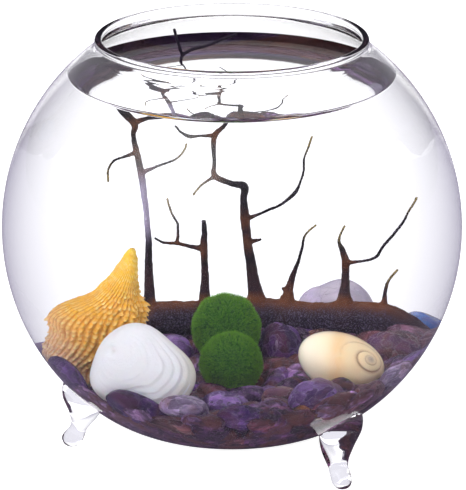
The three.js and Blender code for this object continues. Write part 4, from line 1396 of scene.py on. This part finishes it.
    def marks(self, co: Array) -> Array:
        """Marks for the finish: how brown, how near a tip, and how speckled or, high up, bleached.

        Args:
            co: The corners.

        Returns:
            Three values for each corner.
        """
        ends = np.array([branch[-1][:3] for branch in self.branches])
        joints = np.array([point[:3] for branch in self.branches for point in branch[:-2]])
        free = np.min(np.linalg.norm(ends[:, None] - joints[None], axis=2), 1) > 4
        free &= np.array([branch[-1][3] < 0.5 for branch in self.branches])
        tips = ends[free] + [0, self.plane_y, 0]
        forks = np.array([branch[0][:3] for branch in self.branches]) + [0, self.plane_y, 0]
        near_tip = np.min(np.linalg.norm(co[:, None] - tips[None], axis=2), 1)
        near_fork = np.min(np.linalg.norm(co[:, None] - forks[None], axis=2), 1)
        ridge = np.array(self.ridge)
        above = co[:, 2] - np.interp(co[:, 0], ridge[:, 0], ridge[:, 2] + 0.9 * ridge[:, 3])
        low = co[:, 2] < self.marks_below_z
        brown = 0.75 * np.exp(-(near_fork / 2.2) ** 2) * low + np.exp(-((above - 0.8) / 1.5) ** 2)
        brown = np.maximum(brown, 0.2 * np.exp(-((co[:, 2] - 53) / 4.0) ** 2))
        brown = brown * np.clip((40 - co[:, 0]) / 8, 0.15, 1)
        tip = 0.75 * np.clip(1.1 - near_tip / 5.0, 0, 1) * low
        bleached = 0.85 * np.exp(-((co[:, 2] - 71) / 7.5) ** 4) * (np.abs(co[:, 0] + 20) < 2.2)
        speck = np.maximum(np.clip((0.4 - above) / 2.0, 0, 1), bleached)
        return np.clip(np.stack([brown, tip, speck], 1), 0, 1)


# ------------------------------------------------------------------------------ moss balls

@dataclass
class MossBall:
    """A ball of moss: a tufted core with thousands of short threads standing out of it."""

    node: str
    centre: tuple[float, float, float]
    radius: float
    seed: int
    core_rings: int = 48
    core_sides: int = 72
    core_share: float = 0.93
    root_share: float = 0.91
    threads: int = 14000
    thread_radius: float = 0.06
    attribute: str = "moss_marks"

    def relief(self, n: Array) -> Array:
        """The reach of the tufted surface in each direction, as in the solid."""
        tufts = sum(np.sin(11 * n[..., axis] + (axis + 1) * self.seed) for axis in range(3))
        return self.radius * (1 + 0.04 * tufts / 3)

    def grown(self, draw: np.random.Generator) -> Array:
        """Grows the threads: a triangle at the root, another half way up it, and the tip.

        Args:
            draw: The source of the random draws.

        Returns:
            Seven corners for each thread, about the ball's centre.
        """
        out = unit(draw.normal(0, 1, (self.threads, 3)))
        root = out * (self.relief(out) * self.root_share)[:, None]
        combed = np.stack([waves(root, 4, self.seed + shift) for shift in (0, 5, 9)], 1)
        lean = unit(out + draw.normal(0, 0.3, out.shape) + 0.12 * combed)
        long = draw.uniform(0.5, 1.2, (self.threads, 1))
        bend = unit(lean + draw.normal(0, 0.35, out.shape))
        side = unit(np.cross(lean, draw.normal(0, 1, out.shape)))
        other = np.cross(lean, side)
        t = turns(3)[None, :, None]
        ring = self.thread_radius * (np.cos(t) * side[:, None] + np.sin(t) * other[:, None])
        knee = root + lean * long * 0.6
        tip = (knee + bend * long * 0.5)[:, None]
        return np.concatenate([root[:, None] + ring, knee[:, None] + ring * 0.8, tip], 1)

    def build(self, finish: MossFinish) -> Piece:
        """Builds the ball as one mesh.

        Args:
            finish: The moss.

        Returns:
            The ball.
        """
        draw = np.random.default_rng(100 + self.seed)
        n = ball_grid(self.core_rings, self.core_sides)
        core = with_poles(n * (self.relief(n) * self.core_share)[..., None]) + self.centre
        threads = self.grown(draw) + self.centre
        one = np.array([[0, 1, 4], [0, 4, 3], [1, 2, 5], [1, 5, 4], [2, 0, 3], [2, 3, 5],
                        [3, 4, 6], [4, 5, 6], [5, 3, 6], [0, 2, 1]])
        faces = (one[None] + 7 * np.arange(self.threads)[:, None, None] + len(core)).reshape(-1, 3)
        ball = new_piece(self.node + "_threads", np.concatenate([core, threads.reshape(-1, 3)]),
                         tube_faces(self.core_rings, self.core_sides) + faces.tolist())
        # Red runs from root to tip: the finish paints shade at the roots and the core, and a glow at the tips.
        marks = np.zeros(threads.shape)
        marks[:, 3:6, 0] = 0.55
        marks[:, 6, 0] = 1.0
        marks[..., 1] = draw.uniform(0, 1, self.threads)[:, None]
        core_marks = np.tile([0.0, 0.3, 0.0], (len(core), 1))
        paint(ball, self.attribute, np.concatenate([core_marks, marks.reshape(-1, 3)]))
        dress(ball, finish.material(), "moss", self.node)
        return ball


# ------------------------------------------------------------------------------ shells

@dataclass
class ConeShell:
    """The orange shell: scaly cords fan out from its tip over a round shoulder.

    Each section holds its height, its left and right ends along x, and its half depth.
    """

    middle_y: float = -11.5
    cords: int = 38
    twist: float = 0.9
    scale_rows: int = 30
    rings: int = 180
    sides: int = 360
    attribute: str = "shell_tint"
    sections: tuple[tuple[float, ...], ...] = (
        (34.6, -45.0, -33.5, 4.6), (37.5, -48.6, -29.0, 7.6), (41.2, -51.4, -25.6, 9.0),
        (45.2, -48.9, -22.8, 9.6), (49.0, -47.2, -21.8, 9.6), (53.3, -47.3, -21.5, 9.2),
        (56.2, -44.6, -21.5, 8.2), (58.2, -40.0, -22.2, 6.6), (60.2, -35.6, -23.2, 5.0),
        (64.2, -31.6, -23.7, 3.9), (68.0, -28.8, -23.7, 2.6), (71.0, -27.0, -24.2, 1.4),
        (72.2, -25.9, -24.6, 0.6),
    )
    lemon: Colour = (1.0, 0.74, 0.05)
    orange: Colour = (0.97, 0.46, 0.03)
    brown: Colour = (0.5, 0.25, 0.09)
    pale: Colour = (0.8, 0.62, 0.55)
    # Painted shade in the grooves between the cords.
    groove: Colour = (0.5, 0.17, 0.02)
    # A painted highlight on the scales' raised edges.
    painted_highlight: Colour = (1.0, 0.84, 0.36)
    amber: Colour = (0.85, 0.42, 0.05)

    def build(self, finish: ShellFinish) -> Piece:
        """Builds the shell: level ovals through the sections, raised in cords with rows of scales.

        Args:
            finish: The shell's finish.

        Returns:
            The shell.
        """
        path = smooth_path(np.array(self.sections), self.rings // (len(self.sections) - 1))
        t = turns(self.sides)[None]
        z, left, right, depth = (path[:, k:k + 1] for k in range(4))
        grown = np.clip((path[-1, 0] - z) / (path[-1, 0] - path[0, 0]), 0, 1)
        middle, half = (left + right) / 2, (right - left) / 2
        swing = t + self.twist * grown
        cord = np.clip(0.5 + 0.62 * np.cos(self.cords * swing), 0, 1)
        which = np.floor(self.cords * swing / TAU + 0.5)
        row = (grown * self.scale_rows + 0.37 * which + 0.3 * np.sin(which * 2.7)) % 1.0
        scale = cord * np.sin(math.pi * row ** 1.6) ** 1.5
        level = np.broadcast_to(z, cord.shape)
        plain = np.stack([middle + half * np.cos(t), self.middle_y + depth * np.sin(t), level], -1)
        uneven = 0.75 + 0.9 * waves(plain, 3.5, 5)
        size = np.clip(half / 9, 0.14, 1)
        lift = ((0.3 * cord + 0.6 * scale) * uneven + 0.75 * waves(plain, 9, 3) - 0.35) * size
        points = plain + np.stack([lift * np.cos(t), lift * np.sin(t), -0.5 * scale * size], -1)
        shell = skin("shell_cone_corded", points)
        paint(shell, self.attribute, self.colours(points, grown, cord, scale))
        dress(shell, finish.material(), "orange_shell", "shell_cone")
        return shell

    def colours(self, points: Array, grown: Array, cord: Array, scale: Array) -> Array:
        """The shell's tints: lemon near the tip, golden orange in the middle, brown and pale below; painted
        shade in the grooves and painted highlights on the scales.

        Args:
            points: The corners.
            grown: How far down from the tip, 0 to 1.
            cord: The cords, 0 in the grooves to 1 on the backs.
            scale: The scales' edges.

        Returns:
            A colour for each corner and the two poles.
        """
        lemon, orange, brown, pale, groove, painted_highlight, amber = np.array([
            self.lemon, self.orange, self.brown, self.pale, self.groove, self.painted_highlight, self.amber])
        down = np.broadcast_to(grown, cord.shape)[..., None]
        left = np.clip((-32 - points[..., :1]) / 14, 0, 1)
        base = blend(lemon, orange, np.clip(down * 2.2 - 0.15 + 0.3 * (1 - left), 0, 1))
        base = blend(base, brown, np.clip(down * 2.2 - 1.15, 0, 0.75) * (1 - 0.6 * left))
        base = blend(base, pale, np.clip(left * down * 1.9 - 0.55, 0, 0.85))
        # Painted shade: the grooves between the cords are darkened, more so lower down.
        base = blend(base, groove, np.clip(1 - 1.6 * cord, 0, 1)[..., None] * (0.45 + 0.3 * down))
        patch = np.clip(0.55 + 0.8 * waves(points, 6.0, 8), 0, 1)[..., None]
        # Painted highlight: the scales' raised edges are lightened, more so in some patches.
        base = blend(base, painted_highlight, np.clip(scale, 0, 1)[..., None] * (0.25 + 0.6 * patch))
        return corner_colours(blend(base, amber, (1 - patch) * 0.35))


@dataclass
class ClamValve:
    """The white clam valve, standing on its edge with its round back to the front.

    The outline's waves each hold a count round the edge, a height and a phase; the steps each hold a
    growth share and a depth.
    """

    centre: tuple[float, float, float] = (-25.4, -35.1, 44.0)
    facing: tuple[float, float, float] = (-0.05, -0.86, 0.51)
    umbo: float = 148.0
    umbo_at: float = 0.72
    long: float = 14.6
    short: float = 15.0
    outline_size: float = 0.974
    outline: tuple[tuple[float, ...], ...] = (
        (2, 0.062, -1.69), (3, 0.078, 2.71), (4, 0.033, 2.35), (5, 0.028, -0.14))
    steps: tuple[tuple[float, float], ...] = (
        (0.5, 0.16), (0.66, 0.4), (0.76, 0.3), (0.85, 0.55), (0.93, 0.4))
    dome: float = 6.6
    thick: float = 2.0
    sides: int = 240
    rings: int = 110
    attribute: str = "shell_tint"

    def growth(self, x: Array, y: Array) -> Array:
        """How far the valve had grown when each point of the unit disc was its edge.

        Args:
            x: The place along the valve, towards the umbo.
            y: The place across it.

        Returns:
            The share, 0 at the umbo and 1 on the edge.
        """
        dx = x - self.umbo_at
        b = dx * self.umbo_at
        room = 1 - self.umbo_at ** 2
        return (b + np.sqrt(b * b + (dx * dx + y * y) * room)) / room

    def growth_waves(self, grown: Array) -> Array:
        """The wave of the growth ridges and of the lines painted on them."""
        return np.sin(grown * TAU * 9 + 1.3 * np.sin(grown * 14))

    def placed(self, x: Array, y: Array, lift: Array) -> Array:
        """Carries places on the valve's disc, and heights over it, into the part's frame.

        Args:
            x: The place along the valve, towards the umbo, in half lengths.
            y: The place across it, in half widths.
            lift: The height over the disc.

        Returns:
            The points.
        """
        facing = unit(np.array(self.facing))
        level = unit(np.cross([0, 0, 1], facing))
        turn = math.radians(self.umbo)
        along = level * math.cos(turn) + np.cross(facing, level) * math.sin(turn)
        across = np.cross(facing, along)
        return (np.array(self.centre) + (x * self.long)[..., None] * along
                + (y * self.short)[..., None] * across + lift[..., None] * facing)

    def build(self, finish: ShellFinish) -> Piece:
        """Builds the valve: a domed disc with growth ridges outside and a smooth hollow inside.

        Args:
            finish: The shell's finish.

        Returns:
            The valve.
        """
        share = np.sin(np.linspace(0.02, 1, self.rings) * math.pi / 2)[:, None]
        t = turns(self.sides)[None]
        x, y = share * np.cos(t), share * np.sin(t)
        peak = np.sqrt(np.maximum(0, 1 - share ** 2)) * (1 + 0.25 * x)
        grown = self.growth(x, y)
        low = np.clip(0.6 - x + 0.5 * y, 0.15, 1)
        steps = low * sum(depth / (1 + np.exp((at - grown) * 150)) for at, depth in self.steps)
        beak = np.exp(-((x - self.umbo_at) ** 2 + y ** 2) / 0.012) * 0.9
        ridges = 0.012 * self.growth_waves(grown) + 0.008 * np.sin(grown * 160)
        out = self.dome * peak + ridges - steps + 0.35 + beak
        hollow = (self.dome - self.thick) * peak - 0.44
        wobble = self.outline_size + sum(h * np.cos(k * t + phase) for k, h, phase in self.outline)
        outside = self.placed(x * wobble, y * wobble, out)
        inside = self.placed(x * wobble * 0.96, y * wobble * 0.96, hollow)
        valve = skin("shell_clam_valve", np.concatenate([inside, outside[::-1]]))
        paint(valve, self.attribute, self.colours(grown, x, y))
        dress(valve, finish.material(), "white_shell", "shell_clam")
        return valve

    def colours(self, grown: Array, x: Array, y: Array) -> Array:
        """White, with faint grey growth lines and a beige outer zone; the hollow is plain white.

        Args:
            grown: The growth share at each outer corner.
            x: Its place along the valve.
            y: Its place across the valve.

        Returns:
            A colour for each corner and the two poles.
        """
        white, grey, beige = np.array([(0.86, 0.865, 0.88), (0.58, 0.55, 0.52), (0.72, 0.66, 0.52)])
        line = np.clip(self.growth_waves(grown) - 0.55, 0, 1)[..., None]
        outer = np.clip((grown - 0.83) * 7, 0, 1)[..., None]
        side = np.clip(0.55 - x + 0.4 * y, 0, 1)[..., None]
        base = blend(white, beige, outer * side * 0.75)
        base = blend(base, grey, line * (0.05 + 0.4 * outer * side))
        return corner_colours(np.concatenate([np.broadcast_to(white, base.shape), base[::-1]]))


@dataclass
class MoonSnail:
    """The round moon snail shell, with its low spire turned to the front right."""

    centre: tuple[float, float, float] = (28.3, -17.5, 43.1)
    spire: tuple[float, float, float] = (0.543, -0.521, 0.658)
    mouth_way: tuple[float, float, float] = (-0.55, 0.72, -0.3)
    mouth_depth: float = 2.6
    half: tuple[float, float, float] = (12.2, 9.6, 7.6)
    tilt: float = 24.6
    turns: float = 2.4
    reach: float = 0.52
    groove: float = 0.6
    rings: int = 200
    sides: int = 240
    attribute: str = "shell_tint"

    def build(self, finish: ShellFinish) -> Piece:
        """Builds the shell: an oval ball whose surface dips along a spiral that grows from the spire.

        Args:
            finish: The shell's finish.

        Returns:
            The shell.
        """
        spire = unit(np.array(self.spire))
        side = unit(np.cross([0, 0, 1], spire))
        up = np.cross(spire, side)
        near, far = np.geomspace(0.015, 1.0, self.rings // 2), np.linspace(1.0, 3.1, self.rings // 2)
        slant = np.concatenate([near, far[1:]])[:, None]
        t = turns(self.sides)[None]
        n = (np.cos(slant)[..., None] * spire + (np.sin(slant) * np.cos(t))[..., None] * side
             + (np.sin(slant) * np.sin(t))[..., None] * up)
        whorl = np.log(slant / self.reach) * (self.turns / 2) - t / TAU
        within = whorl - np.floor(whorl)
        fade = np.minimum(1, slant * 3) * np.exp(-np.maximum(0, slant - self.reach) * 6)
        dip = self.groove * fade * (np.exp(-within * 5.5) * 1.1 + 0.6 * np.exp(-(1 - within) * 18))
        cap = 0.45 * np.exp(-(slant / 0.22) ** 2)
        mouth = np.clip((n @ unit(np.array(self.mouth_way)) - 0.8) / 0.1, 0, 1)
        hollow = mouth * mouth * (3 - 2 * mouth) * self.mouth_depth
        points = n * np.array(self.half) + n * (cap - dip - hollow)[..., None]
        points = turned_by(points, (0, self.tilt, 0)) + np.array(self.centre)
        shell = skin("shell_moon_snail_coiled", points)
        paint(shell, self.attribute, self.colours(points, slant, dip, mouth))
        dress(shell, finish.material(), "snail_shell", "shell_moon_snail")
        return shell

    def colours(self, points: Array, slant: Array, dip: Array, mouth: Array) -> Array:
        """Cream, with a peach band down the middle, a grey tip, a brown line in the groove and painted shade
        in the mouth.

        Args:
            points: The corners.
            slant: The angle from the spire.
            dip: The depth of the groove.
            mouth: Where the shell's mouth is, 0 to 1.

        Returns:
            A colour for each corner and the two poles.
        """
        cream, white, peach, grey, brown = np.array([
            (1.0, 0.79, 0.48), (1.0, 0.9, 0.69), (0.92, 0.55, 0.22), (0.42, 0.33, 0.28), (0.5, 0.28, 0.16)])
        x = points[..., :1] - self.centre[0]
        base = blend(white, cream, np.clip((x + 9) / 9, 0, 1))
        band = np.exp(-((x + 0.8) / 2.3) ** 2) * 0.55 + np.exp(-((x - 5.0) / 1.6) ** 2) * 0.18
        base = blend(base, peach, band)
        base = blend(base, brown, np.clip(dip / self.groove * 1.6 - 0.2, 0, 1)[..., None] * 0.9)
        base = blend(base, grey, np.exp(-(slant / 0.13) ** 2)[..., None] * 0.8)
        # Painted shade: the mouth is darkened.
        return corner_colours(base * (1 - 0.75 * mouth[..., None]))


@dataclass
class Bead:
    """The blue glass bead behind the fan's right end."""

    centre: tuple[float, float, float] = (37.6, 29.3, 42.5)
    radius: float = 2.3

    def build(self, finish: BeadFinish) -> Piece:
        """Builds the bead: a ball a little flattened by low waves.

        Args:
            finish: The glass.

        Returns:
            The bead.
        """
        n = ball_grid(32, 48)
        points = n * (self.radius * stone_reach(n, 0))[..., None] + np.array(self.centre)
        bead = skin("bead_blue_glass", points)
        dress(bead, finish.material(), "bead_glass", "bead_blue")
        return bead


# ------------------------------------------------------------------------------ the studio

@dataclass
class Studio:
    """The pale floor, the soft light all round and the camera."""

    aim: tuple[float, float, float] = (0.0, 0.0, 74.0)
    distance: float = 700.0
    elevation: float = 19.8
    focal_px: float = 2137.0
    frame_px: tuple[int, int] = (466, 490)
    aim_px: tuple[float, float] = (231.9, 226.5)
    sensor: float = 36.0
    floor_size: float = 2400.0
    floor_bounds: tuple[float, float, float] = (0.05, 0.108, 0.12)
    key: tuple[float, float, float] = (-0.5, -0.62, 0.62)
    key_power: float = 5.0
    mirror_loss: float = 0.6
    turn_from_y: float = 80.0
    side_angle: float = 1.1

    def camera(self) -> None:
        """Sets the camera on the photo's view: the bowl's centre lies on its measured pixel."""
        data = bpy.data.cameras.new("camera")
        data.sensor_width = self.sensor
        data.lens = self.focal_px * self.sensor / max(self.frame_px)
        data.clip_start, data.clip_end = 0.01, 20
        tilt = math.radians(self.elevation)
        ahead = Vector((0, math.cos(tilt), -math.sin(tilt)))
        camera = bpy.data.objects.new("camera", data)
        camera.location = (Vector(self.aim) - ahead * self.distance) * MM
        camera.rotation_euler = ahead.to_track_quat("-Z", "Y").to_euler()
        data.shift_x = (self.frame_px[0] / 2 - self.aim_px[0]) / max(self.frame_px)
        data.shift_y = -(self.frame_px[1] / 2 - self.aim_px[1]) / max(self.frame_px)
        bpy.context.scene.collection.objects.link(camera)
        bpy.context.scene.camera = camera

    def side_tone(self, shader: Shader, across: Socket, ahead: Socket) -> Socket:
        """The backdrop's tone: white straight behind the bowl, falling with the angle to lavender grey.

        Args:
            shader: The tool for the tree.
            across: The place or way along X.
            ahead: The place or way along Y.

        Returns:
            The tone.
        """
        angle = shader.math("ARCTAN2", shader.math("ABSOLUTE", across), ahead)
        side = shader.math("DIVIDE", angle, self.side_angle, clamp=True)
        return shader.mix(side, (1.35, 1.35, 1.35), (0.615, 0.6, 0.68))

    def seen_through(self, shader: Shader) -> Socket:
        """One for rays that came from the camera through clear faces alone, at least one of them.

        Args:
            shader: The tool for the tree.

        Returns:
            One or nought.
        """
        path = shader.node("LightPath").outputs
        turned_back = shader.math("ADD", path["Glossy Depth"], path["Diffuse Depth"])
        straight = shader.math("LESS_THAN", turned_back, 0.5)
        return shader.times(straight, shader.above(path["Transmission Depth"], 0.5))

    def mirrored(self, shader: Shader) -> Socket:
        """One for rays that were mirrored last."""
        path = shader.node("LightPath").outputs
        return shader.math("SUBTRACT", path["Is Glossy Ray"], path["Is Transmission Ray"], clamp=True)

    def mirrored_past(self, shader: Shader, faces: float) -> Socket:
        """One for rays that were mirrored and crossed more clear faces than a number.

        Args:
            shader: The tool for the tree.
            faces: The number, and a half.

        Returns:
            One or nought.
        """
        path = shader.node("LightPath").outputs
        crossed = shader.above(path["Transmission Depth"], faces)
        return shader.times(shader.above(path["Glossy Depth"], 0.5), crossed)

    def mirrored_in_glass(self, shader: Shader) -> Socket:
        """One for rays that went into the glass, were mirrored in it and came out again, as in the lip.

        Args:
            shader: The tool for the tree.

        Returns:
            One or nought.
        """
        few = shader.math("LESS_THAN", shader.node("LightPath").outputs["Transmission Depth"], 2.5)
        return shader.times(self.mirrored_past(shader, 0.5), few)

    def floor(self) -> None:
        """Lays the white floor. It glows, as painted light that keeps it white even in the bowl's shadow.

        Seen through the bowl its glow is painted light: grey lavender up to 50 mm behind the bowl's middle,
        bright from there to just behind the bowl, and beyond that falling off to its sides like the world.
        Mirrored rays see a darker floor, which keeps the stones deep.
        """
        s = self.floor_size
        floor = new_piece("floor", np.array([[-s, -s, 0], [s, -s, 0], [s, s, 0], [-s, s, 0]]), [(0, 1, 2, 3)])
        material, shader, bsdf = new_material("pale_floor")
        parts = shader.node("SeparateXYZ", {0: shader.coords()}).outputs
        front, under, behind = self.floor_bounds
        beyond = shader.math("SUBTRACT", parts["Y"], self.turn_from_y * MM)
        # Painted light seen through the bowl: lavender grey falloff to the sides, bright just behind the bowl,
        # grey lavender farther forward.
        tone = self.side_tone(shader, parts["X"], shader.math("MAXIMUM", beyond, 0.05))
        tone = shader.mix(shader.span(parts["Y"], under, behind, 1.0, 0.0), tone, (1.8, 1.8, 1.8))
        tone = shader.mix(shader.math("LESS_THAN", parts["Y"], front), tone, (0.86, 0.85, 0.92))
        through, mirrored = self.seen_through(shader), self.mirrored(shader)
        plain = shader.mix(mirrored, (0.55, 0.55, 0.555), (0.15, 0.13, 0.19))
        # The floor's glow: painted light that keeps it white even in the bowl's shadow.
        glow = shader.mix(mirrored, (0.92, 0.92, 0.92), BLACK)
        shader.fill(bsdf, {"Base Color": shader.mix(through, plain, BLACK), "Roughness": 0.9,
                           "Emission Color": shader.mix(through, glow, tone), "Emission Strength": 1.0,
                           "Specular IOR Level": 0.1})
        floor.data.materials.append(material)

    def light(self) -> None:
        """Lights the scene by the world, besides the floor's glow: white above and behind, grey round the
        sides and front.

        A wide soft patch high at the front left is the key light. Mirrored rays see less of it all, so
        that the glass doesn't veil what is in it.
        """
        world = bpy.data.worlds.new("studio")
        world.use_nodes = True
        bpy.context.scene.world = world
        shader = Shader(world.node_tree)
        way = shader.node("TexCoord").outputs["Generated"]
        parts = shader.node("SeparateXYZ", {0: way}).outputs
        behind = shader.span(parts["Y"], 0.1, 0.7, soft=True)
        above = shader.span(parts["Z"], 0.36, 0.8, soft=True)
        low = shader.mix(behind, (0.72, 0.7, 0.78), (0.16, 0.14, 0.2))
        low = shader.mix(self.mirrored_in_glass(shader), low, (0.66, 0.65, 0.7))
        low = shader.mix(self.seen_through(shader), low, self.side_tone(shader, parts["X"], parts["Y"]))
        key = shader.node("VectorMath", {0: way, 1: Vector(self.key).normalized()}, operation="DOT_PRODUCT")
        patch = shader.span(key.outputs["Value"], 0.86, 0.96, 0.0, self.key_power, soft=True)
        through_bowl = self.mirrored_past(shader, 6.5)
        patch = shader.times(patch, shader.math("SUBTRACT", 1.0, through_bowl))
        share = shader.math("SUBTRACT", 1.0, shader.times(self.mirrored(shader), self.mirror_loss))
        strength = shader.times(shader.math("ADD", patch, 1.0), share)
        shader.fill(world.node_tree.nodes["Background"],
                    {"Color": shader.mix(above, low, (1.3, 1.3, 1.3)), "Strength": strength})

    def build(self) -> None:
        """Sets up the camera, floor and light."""
        self.camera()
        self.floor()
        self.light()
        scene = bpy.context.scene
        scene.view_settings.view_transform = "Standard"
        scene.cycles.max_bounces = 32
        scene.cycles.transmission_bounces = 32
        scene.cycles.transparent_max_bounces = 32
        scene.cycles.glossy_bounces = 8
        scene.cycles.diffuse_bounces = 4
        scene.cycles.use_denoising = True


# ------------------------------------------------------------------------------ the whole

STONE_FINISHES = {
    Gem.DARK: StoneFinish("dark_amethyst", (0.022, 0.008, 0.05), (0.1, 0.045, 0.17), (0.09, 0.02, 0.05),
                          (0.4, 0.3, 0.55)),
    Gem.PURPLE: StoneFinish("purple_amethyst", (0.06, 0.028, 0.12), (0.21, 0.12, 0.32), (0.14, 0.05, 0.09),
                            (0.6, 0.5, 0.75)),
    Gem.PALE: StoneFinish("pale_amethyst", (0.2, 0.14, 0.27), (0.46, 0.37, 0.55), (0.3, 0.16, 0.17),
                          (0.85, 0.8, 0.9), backlit=0.65),
    Gem.BROWN: StoneFinish("smoky_quartz", (0.045, 0.015, 0.025), (0.17, 0.075, 0.075), (0.13, 0.055, 0.14),
                           (0.6, 0.5, 0.55)),
}


def clear_of_pieces(stones: Sequence[StoneSpec], balls: Sequence[MossBall]
                    ) -> Callable[[Array, float], Array]:
    """Makes the test that keeps chips out of the moss balls, shells and single stones.

    Args:
        stones: The single stones.
        balls: The moss balls.

    Returns:
        A function of places and a chip's half size that says which places are free.
    """
    ovals = [(spec.at, np.array(spec.half) * 0.8) for spec in stones]
    ovals += [(ball.centre, np.full(3, ball.radius)) for ball in balls]
    snail, cone = (28.3, -17.5, 43.1), (-37.0, -11.5, 45.0)
    clam, bead = (-25.4, -36.8, 42.5), (37.6, 29.3, 42.5)
    ovals += [(snail, np.array([11.5, 9.6, 8.4])), (cone, np.array([13, 9, 11])),
              (clam, np.array([14, 5, 12.5])), (bead, np.full(3, 2.4))]

    def free(places: Array, half: float) -> Array:
        """Tests places.

        Args:
            places: The places.
            half: The chip's half size.

        Returns:
            True where no oval, grown by the chip's half size, holds the place.
        """
        result = np.ones(len(places), bool)
        for at, reach in ovals:
            result &= np.sum(((places - np.array(at)) / (reach + half)) ** 2, 1) > 1
        return result

    return free


def main() -> None:
    """Builds every piece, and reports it."""
    logging.basicConfig(level=logging.INFO, format="%(name)s: %(message)s")
    bowl = Bowl()
    bed, stones, fan, cone = Bed(bowl), Stones(bowl), SeaFan(), ConeShell()
    clam, snail = ClamValve(), MoonSnail()
    balls = [MossBall("moss_ball_front", (-0.2, -15, 43.2), 7.9, 1),
             MossBall("moss_ball_rear", (-1.4, 1.9, 47.6), 8.3, 2)]
    # Root and tip colours: painted shade deep in the ball and a painted glow at the tips.
    moss = MossFinish("moss", balls[0].attribute, (0.018, 0.085, 0.007), (0.17, 0.44, 0.04))
    corded = ShellFinish("corded_shell", cone.attribute, 0.5, 0.1, 0.00025, (0.75, 0.45, 0.2), 0.3)
    ridged = ShellFinish("clam_shell", clam.attribute, 0.38, 0.15, 0.00005, (0.77, 0.77, 0.79), 0.3)
    polished = ShellFinish("snail_shell", snail.attribute, 0.22, 0.5, 0.00003, (0.95, 0.82, 0.6), 0.25)
    dried = FanFinish("dried_fan", fan.attribute, bark=(0.01, 0.006, 0.014), brown=(0.155, 0.05, 0.014),
                      tip=(0.36, 0.27, 0.1))
    Studio().build()
    made = [
        bowl.build(ClearFinish("clear_glass", GLASS_IOR, (0.985, 0.985, 1.0)),
                   ClearFinish("wetted_glass", GLASS_IOR / WATER_IOR, (0.985, 0.985, 1.0))),
        Water(bowl).build(ClearFinish("clear_water", WATER_IOR, (0.99, 0.995, 1.0)),
                          ClearFinish("water_side", 1.0, WHITE),
                          # The brim's dark tints, in what it lets through and what it mirrors, paint the
                          # water's dark edge line.
                          ClearFinish("water_brim_painted_dark", WATER_IOR, (0.16, 0.1, 0.15), (0.2, 0.12, 0.17))),
        bed.build(ChipFinish("amethyst_chips", bed.attribute), clear_of_pieces(stones.all_specs(bed), balls)),
        *stones.build(bed, STONE_FINISHES),
        fan.build(dried),
        *[ball.build(moss) for ball in balls],
        cone.build(corded),
        clam.build(ridged),
        snail.build(polished),
        Bead().build(BeadFinish("blue_glass", (0.004, 0.03, 0.22), (0.015, 0.13, 0.5))),
    ]
    for piece in made:
        LOG.info("%s: %d faces", piece.name, len(piece.data.polygons))


if __name__ == "__main__":
    main()
